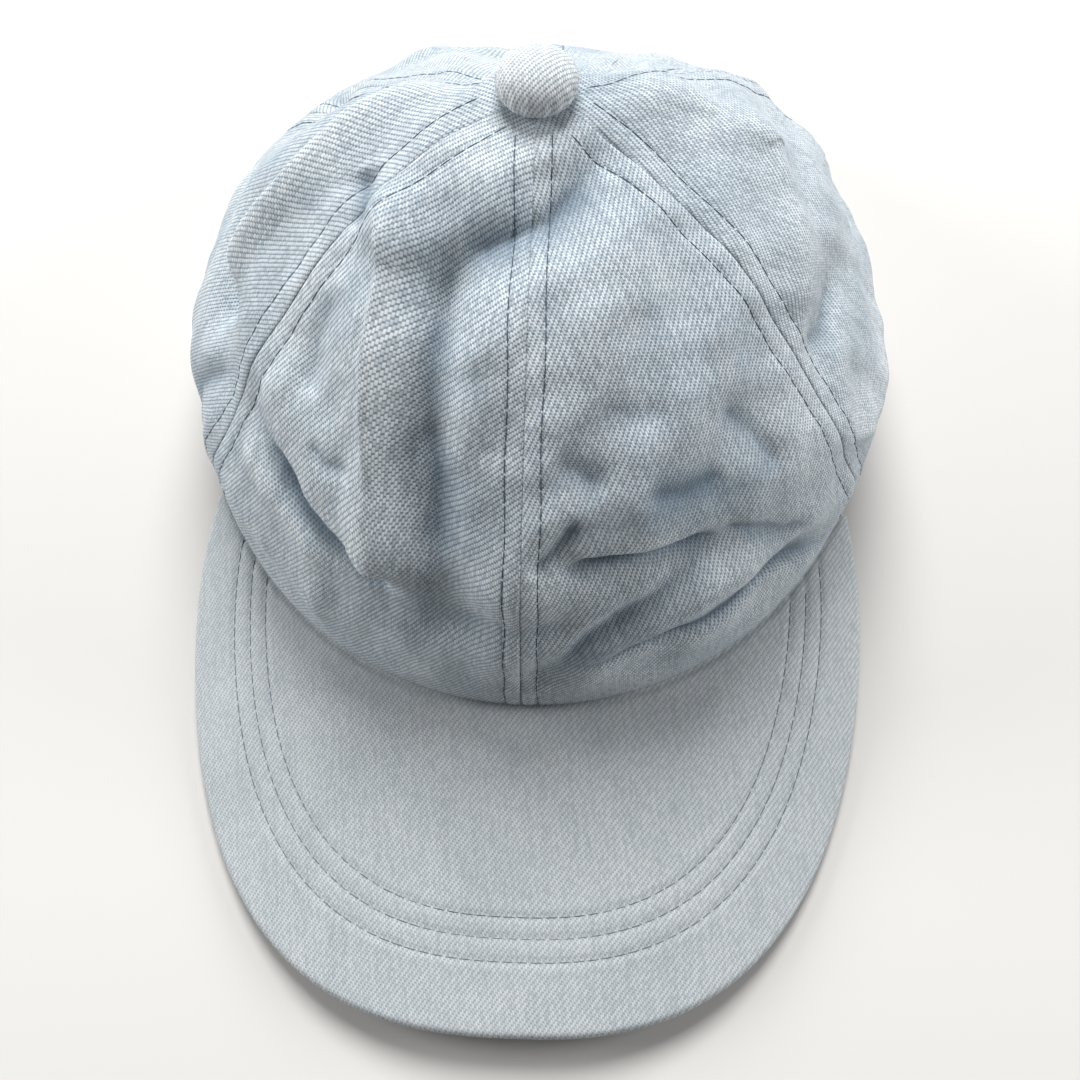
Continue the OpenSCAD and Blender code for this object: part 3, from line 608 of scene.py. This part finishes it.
def plain_cotton(name, dark, light, rib, relief):
    """Plain cotton tape or lining: fine crossing ribs, matt, with a faint slubby tone."""
    made, tree = new_material(name)
    cloth = add(tree, "ShaderNodeUVMap", uv_map="cloth").outputs["UV"]
    yarn = {"Vector": cloth, "Scale": wave_turns / rib, "Distortion": 1.2, "Detail": 2.0}
    ribs = add(tree, "ShaderNodeTexWave", yarn, bands_direction="DIAGONAL")
    weft = add(tree, "ShaderNodeTexWave", yarn, bands_direction="Y")
    weave = add(tree, "ShaderNodeMath", {
        0: ribs.outputs["Fac"], 1: weft.outputs["Fac"]}, operation="MULTIPLY")
    slubs = add(tree, "ShaderNodeTexNoise", {"Vector": cloth, "Scale": 1 / (6 * mm), "Detail": 4.0})
    tone = add(tree, "ShaderNodeMath", {
        0: slubs.outputs["Fac"], 1: 0.5, 2: weave.outputs[0]}, operation="MULTIPLY_ADD", use_clamp=True)
    colour = add(tree, "ShaderNodeMix", {
        0: tone.outputs[0], 6: linear(dark), 7: linear(light)}, data_type="RGBA")
    bump = add(tree, "ShaderNodeBump", {"Strength": 1.0, "Distance": relief, "Height": weave.outputs[0]})
    shade = add(tree, "ShaderNodeBsdfPrincipled", {
        "Base Color": colour.outputs[2], "Roughness": 0.9, "Specular IOR Level": 0.2,
        "Normal": bump.outputs["Normal"]})
    add(tree, "ShaderNodeOutputMaterial", {"Surface": shade.outputs["BSDF"]})
    return made


def spun_thread(name, dark, light):
    """Spun polyester sewing thread: dark, slightly lustrous, with tone changes along its twist."""
    made, tree = new_material(name)
    place = add(tree, "ShaderNodeTexCoord").outputs["Object"]
    twist = add(tree, "ShaderNodeTexNoise", {"Vector": place, "Scale": 1 / (0.8 * mm), "Detail": 2.0})
    colour = add(tree, "ShaderNodeMix", {
        0: twist.outputs["Fac"], 6: linear(dark), 7: linear(light)}, data_type="RGBA")
    shade = add(tree, "ShaderNodeBsdfPrincipled", {
        "Base Color": colour.outputs[2], "Roughness": 0.62, "Specular IOR Level": 0.3})
    add(tree, "ShaderNodeOutputMaterial", {"Surface": shade.outputs["BSDF"]})
    return made


def worn_metal(name, dark, light, rough):
    """Pressed sheet metal with a tumbled finish: soft gloss, clouded tarnish and fine scratches."""
    made, tree = new_material(name)
    place = add(tree, "ShaderNodeTexCoord").outputs["Object"]
    clouds = add(tree, "ShaderNodeTexNoise", {"Vector": place, "Scale": 1 / (3 * mm), "Detail": 5.0})
    stretched = add(tree, "ShaderNodeMapping", {
        "Vector": place, "Scale": (1 / (2 * mm), 1 / (2 * mm), 1 / (0.12 * mm))})
    scratches = add(tree, "ShaderNodeTexNoise", {
        "Vector": stretched.outputs["Vector"], "Scale": 1.0, "Detail": 3.0})
    colour = add(tree, "ShaderNodeMix", {
        0: clouds.outputs["Fac"], 6: linear(dark), 7: linear(light)}, data_type="RGBA")
    gloss = add(tree, "ShaderNodeMapRange", {
        "Value": clouds.outputs["Fac"], "From Min": 0.3, "From Max": 0.7,
        "To Min": rough + 0.12, "To Max": rough - 0.08})
    bump = add(tree, "ShaderNodeBump", {
        "Strength": 0.4, "Distance": 0.02 * mm, "Height": scratches.outputs["Fac"]})
    shade = add(tree, "ShaderNodeBsdfPrincipled", {
        "Base Color": colour.outputs[2], "Metallic": 1.0, "Roughness": gloss.outputs["Result"],
        "Normal": bump.outputs["Normal"]})
    add(tree, "ShaderNodeOutputMaterial", {"Surface": shade.outputs["BSDF"]})
    return made


crown_denim = washed_denim(
    "crown_denim", ("#5e6e7d", "#88969f"), ("#adbbc5", "#eceff1"), 0.07 * mm, 0.2)
visor_denim = washed_denim(
    "visor_denim", ("#8a9399", "#a0a6aa"), ("#b3babe", "#d3d7d8"), 0.035 * mm, 0.18)
button_denim = washed_denim(
    "button_denim", ("#858f97", "#a0a8ae"), ("#d2d8dc", "#f6f7f7"), 0.07 * mm, 0.2)
tape_cotton = plain_cotton("tape_cotton", "#56697f", "#8a9db1", 0.8 * mm, 0.1 * mm)
lining_cotton = plain_cotton("lining_cotton", "#a9b4bd", "#d5dce0", 0.7 * mm, 0.1 * mm)
navy_thread = spun_thread("navy_thread", "#2e3b49", "#566675")
visor_thread = spun_thread("visor_thread", "#55616b", "#76828c")
antique_brass = worn_metal("antique_brass", "#6e5a36", "#b79a62", 0.34)
plated_steel = worn_metal("plated_steel", "#8f9296", "#c3c6c9", 0.3)


def board_plastic(name):
    """Moulded polyethylene board: off-white, waxy and faintly grained."""
    made, tree = new_material(name)
    place = add(tree, "ShaderNodeTexCoord").outputs["Object"]
    grain = add(tree, "ShaderNodeTexNoise", {"Vector": place, "Scale": 1 / (0.6 * mm), "Detail": 3.0})
    colour = add(tree, "ShaderNodeMix", {
        0: grain.outputs["Fac"], 6: linear("#dcdcd6"), 7: linear("#efefea")}, data_type="RGBA")
    bump = add(tree, "ShaderNodeBump", {
        "Strength": 0.5, "Distance": 0.03 * mm, "Height": grain.outputs["Fac"]})
    shade = add(tree, "ShaderNodeBsdfPrincipled", {
        "Base Color": colour.outputs[2], "Roughness": 0.5, "IOR": 1.51,
        "Normal": bump.outputs["Normal"]})
    add(tree, "ShaderNodeOutputMaterial", {"Surface": shade.outputs["BSDF"]})
    return made


def show(name, mesh, material, body, nodes=()):
    made = bpy.data.objects.new(name, mesh)
    bpy.context.scene.collection.objects.link(made)
    mesh.materials.append(material)
    mesh.shade_smooth()
    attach(made, body)
    if nodes:
        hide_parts(*nodes)
    return made


def flat_lengths(points):
    """Cloth lengths over a grid of points: across from the middle column, and up from the first row."""
    middle = points.shape[1] // 2
    steps = length(np.diff(points, axis=1))
    across = np.concatenate([np.zeros((len(points), 1)), np.cumsum(steps, axis=1)], axis=1)
    across -= across[:, middle:middle + 1]
    up = np.concatenate([[0], np.cumsum(length(np.diff(points[:, middle], axis=0)))])
    return np.stack([across, np.broadcast_to(up[:, None], across.shape)], -1)


# A gore's rows are bent at least this much when it is laid flat, and smoothed with the rows near them.
least_bend = 0.05
bend_rows = 8


def unrolled(points):
    """Cloth lengths over a gore laid flat: its rows become arcs, as round as the gore narrows there."""
    flat = flat_lengths(points)
    wide = flat[:, -1, 0] - flat[:, 0, 0]
    bend = np.clip(-np.gradient(wide, flat[:, 0, 1]) / wide, least_bend, None)
    smooth = np.ones(2 * bend_rows + 1) / (2 * bend_rows + 1)
    bend = np.convolve(np.pad(bend, bend_rows, mode="edge"), smooth, mode="valid")[:, None]
    turn = flat[..., 0] * bend
    return np.stack([np.sin(turn) / bend, flat[..., 1] + (1 - np.cos(turn)) / bend], -1)


def on_grain(flat, grain):
    """Flat cloth lengths turned so that the warp leans by an angle from the piece's middle line."""
    turn = math.radians(grain)
    along, up = flat[..., 0], flat[..., 1]
    return np.stack([along * math.cos(turn) + up * math.sin(turn),
                     up * math.cos(turn) - along * math.sin(turn)], -1)


def cloth_mesh(name, points, lengths, wear_and_shade=None):
    """A grid with its vertices moved to the points, rows upwards and columns to the right."""
    rows, cols = points.shape[:2]
    shape = bmesh.new()
    bmesh.ops.create_grid(shape, x_segments=cols - 1, y_segments=rows - 1, size=0.5)
    mesh = bpy.data.meshes.new(name)
    shape.to_mesh(mesh)
    shape.free()
    mesh.vertices.foreach_set("co", points.reshape(-1))
    corners = np.empty(len(mesh.loops), np.int32)
    mesh.loops.foreach_get("vertex_index", corners)
    cloth = mesh.uv_layers.new(name="cloth")
    cloth.data.foreach_set("uv", lengths.reshape(-1, 2)[corners].reshape(-1))
    if wear_and_shade is not None:
        mesh.attributes.new("wear_and_shade", "FLOAT", "POINT").data.foreach_set("value", wear_and_shade.reshape(-1))
    mesh.update()
    return mesh


def sheet_piece(name, points, thickness, material, wear_and_shade=None, lengths=None,
                body="crown"):
    """A sheet of cloth that stands for the CAD node of its name, thickened away from its outer face."""
    lengths = flat_lengths(points) if lengths is None else lengths
    made = show(name + "_cloth", cloth_mesh(name, points, lengths, wear_and_shade), material, body, [name])
    wall = made.modifiers.new("cloth thickness", "SOLIDIFY")
    wall.thickness = thickness
    wall.offset = -1


# Crown panels. Columns crowd towards the seams and rows towards the hem, where the sewing needs them.
edge_share = 0.075
panel_share = np.concatenate([
    np.linspace(0, edge_share, 15)[:-1], np.linspace(edge_share, 1 - edge_share, 90),
    np.linspace(1 - edge_share, 1, 15)[1:]])
panel_rows = np.concatenate([
    np.linspace(0, 0.015, 8)[:-1], np.linspace(0.015, 0.5, 146)[:-1], np.linspace(0.5, 1, 111)])
whole_q = np.linspace(0, seat_end, 240)
seam_gap_a = 0.03
for name, start, grain in [("front_left", 0, 3), ("front_right", -60, 13), ("side_left", 60, 3),
                           ("side_right", -120, 25), ("rear_left", 120, 8), ("rear_right", -180, 12)]:
    azimuths = start + seam_gap_a + (panel_a - 2 * seam_gap_a) * panel_share
    low = arch_start(azimuths)
    q = low + panel_rows[:, None] * (seat_end - low)
    points, wear_and_shade = crown_cloth(azimuths[None], q)
    gore = unrolled(slack_dome(azimuths[None], whole_q[:, None]))
    cut = np.stack([np.stack([np.interp(q[:, i], whole_q, gore[:, i, k])
                              for i in range(len(azimuths))], -1) for k in (0, 1)], -1)
    sheet_piece(name + "_panel", points, panel_t, crown_denim,
                wear_and_shade, on_grain(cut, grain))


def sew(name, runs, material, body="crown"):
    """Stitches along runs of (points, normals): each is a short thread that dips in at both ends."""
    curve = bpy.data.curves.new(name, "CURVE")
    curve.dimensions = "3D"
    curve.bevel_depth = thread_r
    curve.bevel_resolution = 1
    for points, normals in runs:
        along = np.concatenate([[0], np.cumsum(length(np.diff(points, axis=0)))])
        for begin in np.arange(0, along[-1] - stitch_len, stitch_len):
            at = begin + (stitch_len - stitch_gap) * stitch_steps
            p = np.stack([np.interp(at, along, points[:, i]) for i in range(3)], -1)
            n = np.stack([np.interp(at, along, normals[:, i]) for i in range(3)], -1)
            thread = curve.splines.new("POLY")
            thread.points.add(len(at) - 1)
            path = p + stitch_lift[:, None] * n
            thread.points.foreach_set("co", np.c_[path, np.ones(len(at))].reshape(-1))
    drawn = bpy.data.objects.new(name, curve)
    mesh = bpy.data.meshes.new_from_object(drawn)
    bpy.data.objects.remove(drawn)
    show(name, mesh, material, body)


def crown_face(a, q):
    return crown_cloth(a, q)[0]


# Two stitch rows beside every crown seam, from the hem or the arch to the button.
row_start_q = 0.012
row_end_r = 9.3 * mm
row_wander = 0.2 * mm
seam_runs = []
for seam in range(-120, 181, panel_a):
    for side in (-1, 1):
        q = np.linspace(float(arch_start(seam)) + row_start_q, q_at_radius(seam, row_end_r), 260)
        r = np.hypot(*np.moveaxis(dome(seam, q)[..., :2], -1, 0))
        a = seam + side * np.degrees((stitch_off + row_wander * np.sin(35 * q + 2 * seam + side)) / r)
        seam_runs.append((crown_face(a, q), surface_normal(crown_face, a, q)))
sew("crown_stitches", seam_runs, navy_thread)

# Visor covers: rows over the face, crowded at the hem, then round the lip to the middle of the edge.
visor_grain = 8
dense_e = np.linspace(-90, 90, 3601)
dense_run = np.concatenate([[0], np.cumsum(np.hypot(*(np.diff(v) for v in visor_outline(dense_e))))])
cover_e = np.interp(np.linspace(0, dense_run[-1], 221), dense_run, dense_e)
face_k = np.concatenate([np.linspace(0, 0.1, 16)[:-1], np.linspace(0.1, 1, 78)])
lip_turn = np.radians(np.linspace(0, 88, 9))[1:]


def visor_cover(sign):
    """Points and flat lengths of a cover; sign is 1 for the top and -1 for the underside."""
    k = np.concatenate([face_k, np.ones(len(lip_turn))])[:, None]
    turn = np.concatenate([np.zeros(len(face_k)), lip_turn])[:, None]
    depth = visor_mid * (1 - np.cos(turn))
    depth = depth if sign > 0 else visor_t - depth
    points = visor_point(cover_e[None], k, visor_mid * (1 - np.sin(turn)), depth)
    normal = visor_normal(points[..., 0])
    points = points + sign * visor_relief(points)[..., None] * normal
    points[..., 2] = np.maximum(0, points[..., 2])
    bend = visor_bend_r * np.arcsin(points[..., 0] / visor_bend_r)
    return points, on_grain(np.stack([bend, points[..., 1]], -1), visor_grain)


top_points, top_lengths = visor_cover(1)
sheet_piece("visor_top_cover", top_points[::-1], cover_t, visor_denim,
            None, top_lengths[::-1])
low_points, low_lengths = visor_cover(-1)
sheet_piece("visor_bottom_cover", low_points, cover_t, visor_denim,
            None, low_lengths)

# The visor's rows lie at the bottom of their quilting, on both faces.
row_floor = row_depth - quilt_rise
visor_runs = []
for plan in visor_stitch_plans:
    plan = plan[hem_share(plan) > 1]
    normals = visor_normal(plan[:, 0])
    top = np.c_[plan, visor_base + visor_rise(plan[:, 0], plan[:, 1])]
    visor_runs.append((top - row_floor * normals, normals))
    visor_runs.append((top - (visor_t - row_floor) * normals, -normals))
sew("visor_stitches", visor_runs, visor_thread)


# Covered button: a spun dome, drawn into shallow pleats at its rim.
button_wide_z = 0.36 * button_h
button_cover_t = 0.6 * mm
arc_over_chord = 1.05
pleats = 17
pleat_rise = 0.12 * mm
pleat_from = 0.75


def button_profile():
    """Half of its outline, as (radius, height), from the top round the widest place and in under it."""
    over = np.radians(np.linspace(90, 0, 20))[1:]
    under = np.radians(np.linspace(0, 52, 8))[1:]
    dome_h = button_h - button_wide_z
    tuck = math.sin(under[-1])
    return [(0, button_h),
            *((button_r * math.cos(t), button_wide_z + dome_h * math.sin(t)) for t in over),
            *((button_r * math.cos(t), button_wide_z * (1 - math.sin(t) / tuck)) for t in under)]


shape = bmesh.new()
ring = [shape.verts.new((r, 0, button_z + z)) for r, z in button_profile()]
edges = [shape.edges.new(pair) for pair in zip(ring[:-1], ring[1:])]
bmesh.ops.spin(shape, geom=ring + edges, axis=(0, 0, 1), cent=(0, 0, 0), steps=96,
               angle=2 * math.pi, use_merge=True)
bmesh.ops.remove_doubles(shape, verts=shape.verts, dist=0.01 * mm)
bmesh.ops.recalc_face_normals(shape, faces=shape.faces)
cloth = shape.loops.layers.uv.new("cloth")
for face in shape.faces:
    for corner in face.loops:
        spot = corner.vert.co
        run = math.hypot(spot.xy.length, button_z + button_h - spot.z) * arc_over_chord
        corner[cloth].uv = spot.xy.normalized() * run
for vert in shape.verts:
    r = vert.co.xy.length
    turn = math.atan2(vert.co.y, vert.co.x)
    pleat = pleat_rise * math.sin(pleats * turn) * max(0, r / button_r - pleat_from) / (1 - pleat_from)
    if r > 0:
        vert.co.xy *= 1 + pleat / r
button_mesh = bpy.data.meshes.new("button_cover")
shape.to_mesh(button_mesh)
shape.free()
button = show("button_cover_cloth", button_mesh, button_denim, "crown", ["button_cover"])
button_wall = button.modifiers.new("cloth thickness", "SOLIDIFY")
button_wall.thickness = button_cover_t
button_wall.offset = -1

# Seam tapes inside the crown, from the hem or the arch to the tack, below the pinched seams.
tape_depth = panel_t + tape_gap + pinch_depth
tape_start = 2 * mm
for name, seam in [("front", 0), ("front_left", 60), ("front_right", -60), ("rear_left", 120),
                   ("rear_right", -120), ("rear", 180)]:
    begin = arch_q + (binding_w + tape_start) / crown_h if seam == 180 else q_at_height(seam, tape_start)
    q = np.linspace(begin, q_at_radius(seam, tape_end_r), 90)[:, None]
    r = np.hypot(*np.moveaxis(dome(seam, q)[..., :2], -1, 0))
    a = seam + np.degrees(np.linspace(-0.5, 0.5, 15) * tape_w / r)
    points = crown_under(a, np.broadcast_to(q, a.shape), np.full(a.shape, tape_depth))
    sheet_piece(name + "_seam_tape", points[:, ::-1], -tape_t, tape_cotton)

# Sweatband inside the hem. Behind the sides it stands off and stays inside the strap's inner face, which
# leaves the strap its pockets.
sweat_end_a = 180 - opening_a - 14
sweat_low = 1 * mm
sweat_depth = panel_t + tape_t + 2 * tape_gap
sweat_rear_depth = crown_r - strap_out_r + strap_t + move_gap
strap_room = 0.25 * mm
side_room = 4 * mm
a = np.linspace(-sweat_end_a, sweat_end_a, 201)[None]
q = np.linspace(band_q * sweat_low / band_h, q_at_height(0, sweatband_h), 34)[:, None]
a, q = np.broadcast_arrays(a, q)
behind = np.abs(a) - 90
depth = sweat_depth + (sweat_rear_depth - sweat_depth) * ease(behind / 15)
points = crown_under(a, q, depth)
most_r = strap_out_r - strap_t - strap_room + side_room * (1 - ease((behind - 2) / 12))
plan_r = np.hypot(points[..., 0], points[..., 1] - rear_y)
draw_in = np.where(behind > 0, np.minimum(1, most_r / plan_r), 1)
points[..., 0] *= draw_in
points[..., 1] = rear_y + (points[..., 1] - rear_y) * draw_in
sheet_piece("sweatband", points, sweatband_t, lining_cotton)

# Binding along the inside of the rear opening's arch.
binding_low_q = 0.004
turn = np.radians(np.linspace(-89, 89, 121))[None]
wide = np.linspace(0, binding_w, 11)[:, None]
a = 180 + (opening_a + np.degrees(wide / crown_r)) * np.sin(turn)
q = binding_low_q + (arch_q + wide / crown_h) * np.cos(turn)
points = crown_under(a, q, np.full(a.shape, panel_t + tape_gap))
sheet_piece("opening_binding", points, tape_t, tape_cotton)

# Strap across the rear opening, with rolled edges and two rows of stitches.
strap_roll, strap_roll_w = 0.25 * mm, 1.2 * mm
strap_row_in = 2.2 * mm
strap_row_sink = 0.02 * mm
strap_ends = (90 - opening_a - strap_tail_a, 90 + opening_a + strap_anchor_a)
strap_a = np.radians(np.linspace(*strap_ends, 161))
rise = np.linspace(0, strap_w, 25)[:, None]
r = strap_out_r - strap_roll * (1 - ease(np.minimum(rise, strap_w - rise) / strap_roll_w))
points = np.stack(np.broadcast_arrays(
    r * np.cos(strap_a), rear_y + r * np.sin(strap_a), strap_z + rise), -1)
sheet_piece("strap", points, strap_t, crown_denim,
            np.zeros(points.shape[:2]), body="strap")
strap_runs = []
for rise in (strap_row_in, strap_w - strap_row_in):
    out = np.stack([np.cos(strap_a), np.sin(strap_a), np.zeros_like(strap_a)], -1)
    path = np.array([0, rear_y, strap_z + rise]) + (strap_out_r - strap_row_sink) * out
    strap_runs.append((path, out))
sew("strap_stitches", strap_runs, navy_thread, "strap")

# Loop of cloth folded round the buckle's bar, its two layers sewn in under the left rear panel.
loop_in_r = strap_out_r + move_gap
bar_x = buckle_len / 2 - bar_inset
bar_y = loop_in_r + bar_r + loop_t + bar_lift
bar_a = math.degrees(math.atan2(bar_x, bar_y))
tail_a = np.radians(np.linspace(opening_a + loop_sewn_a - buckle_a, bar_a + 2.5, 24))
tail = np.stack([np.sin(tail_a), np.cos(tail_a)], -1)
wrap_a = np.radians(np.linspace(75, 285, 40))
eye_r = bar_r + loop_eye_gap + loop_t
wrap = np.array([bar_x, bar_y]) + eye_r * np.stack([np.cos(wrap_a), np.sin(wrap_a)], -1)
path = np.concatenate([(loop_in_r + 2 * loop_t) * tail, wrap, loop_in_r * tail[::-1]])
run = np.concatenate([[0], np.cumsum(length(np.diff(path, axis=0)))])
path = np.stack([np.interp(np.linspace(0, run[-1], 160), run, path[:, i]) for i in (0, 1)], -1)
smooth = np.ones(7) / 7
path = np.stack([np.convolve(np.pad(path[:, i], 3, mode="edge"), smooth, mode="valid")
                 for i in (0, 1)], -1)
turn = math.radians(buckle_a)
path = np.stack([path[:, 0] * math.cos(turn) + path[:, 1] * math.sin(turn),
                 rear_y - path[:, 0] * math.sin(turn) + path[:, 1] * math.cos(turn)], -1)
rise = np.linspace(loop_inset, strap_w - loop_inset, 21)[:, None]
points = np.stack(np.broadcast_arrays(path[None, :, 0], path[None, :, 1], strap_z + rise), -1)
sheet_piece("buckle_loop", points, loop_t, crown_denim,
            np.zeros(points.shape[:2]))


# Metal and board: the solids' own shapes, with broken edges where they show.
edge_break = 0.16 * mm
flat_turn = math.radians(1)
sharp_turn = math.radians(40)
smooth_turn = math.radians(35)


def broken_edges(node, material, body):
    shape = bmesh.new()
    shape.from_mesh(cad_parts[node].data)
    bmesh.ops.remove_doubles(shape, verts=shape.verts, dist=0.001 * mm)
    bmesh.ops.dissolve_limit(shape, angle_limit=flat_turn, verts=shape.verts, edges=shape.edges)
    sharp = [e for e in shape.edges if len(e.link_faces) == 2 and e.calc_face_angle() > sharp_turn]
    bmesh.ops.bevel(shape, geom=sharp, offset=edge_break, segments=2, profile=0.5, affect="EDGES",
                    material=-1, clamp_overlap=True)
    mesh = bpy.data.meshes.new(node)
    shape.to_mesh(mesh)
    shape.free()
    show(node + "_metal", mesh, material, body, [node])
    mesh.set_sharp_from_angle(angle=smooth_turn)


for node, body in [("buckle_frame", "crown"), ("buckle_pin", "crown"), ("buckle_lever", "lever")]:
    broken_edges(node, antique_brass, body)
for node, finish in [("button_cup", plated_steel), ("button_tack", plated_steel),
                     ("visor_board", board_plastic("board_plastic"))]:
    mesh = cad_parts[node].data
    mesh.materials.clear()
    mesh.materials.append(finish)

# Floor, light and camera.
floor_shape = bmesh.new()
bmesh.ops.create_grid(floor_shape, x_segments=1, y_segments=1, size=2.5)
floor_mesh = bpy.data.meshes.new("floor")
floor_shape.to_mesh(floor_mesh)
floor_shape.free()
floor = bpy.data.objects.new("floor", floor_mesh)
bpy.context.scene.collection.objects.link(floor)
floor_finish, tree = new_material("studio_paper")
paper = add(tree, "ShaderNodeBsdfPrincipled", {"Base Color": linear("#d0cecb"), "Roughness": 0.9})
add(tree, "ShaderNodeOutputMaterial", {"Surface": paper.outputs["BSDF"]})
floor_mesh.materials.append(floor_finish)

world = bpy.data.worlds.new("studio")
world.use_nodes = True
world.node_tree.nodes["Background"].inputs["Color"].default_value = linear("#f2f4f6")
world.node_tree.nodes["Background"].inputs["Strength"].default_value = 0.1
bpy.context.scene.world = world


def lamp(name, place, aim, size, power):
    light = bpy.data.lights.new(name, "AREA")
    light.shape = "DISK"
    light.size = size
    light.energy = power
    made = bpy.data.objects.new(name, light)
    bpy.context.scene.collection.objects.link(made)
    made.location = place
    made.rotation_euler = (Vector(aim) - Vector(place)).to_track_quat("-Z", "Y").to_euler()


lamp("key", (-0.04, 0.62, 0.94), (0, 0, 0.05), 0.7, 17.5)
lamp("left_side", (-0.9, 0.02, 0.5), (0, -0.04, 0.05), 0.5, 6)
lamp("right_side", (0.9, 0.02, 0.5), (0, -0.04, 0.05), 0.5, 5)

# Camera as it was fitted to the photograph with the cap's outline.
photo_px = 1080
camera_place = (0.008185, -0.181336, 0.315481)
focal_px = 1329.946
pitch, yaw, roll = (math.radians(v) for v in (66.645, -2.556, -0.336))
forward = Vector((math.sin(yaw) * math.cos(pitch), math.cos(yaw) * math.cos(pitch), -math.sin(pitch)))
right = Vector((math.cos(yaw), -math.sin(yaw), 0))
up = right.cross(forward)
right, up = right * math.cos(roll) + up * math.sin(roll), up * math.cos(roll) - right * math.sin(roll)
camera_data = bpy.data.cameras.new("camera")
camera_data.sensor_width = 36
camera_data.lens = camera_data.sensor_width * focal_px / photo_px
camera_data.clip_start = 0.01
camera = bpy.data.objects.new("camera", camera_data)
bpy.context.scene.collection.objects.link(camera)
camera_turn = Matrix((right, up, -forward)).transposed().to_4x4()
camera.matrix_world = Matrix.Translation(camera_place) @ camera_turn
bpy.context.scene.camera = camera
bpy.context.scene.view_settings.view_transform = "Standard"
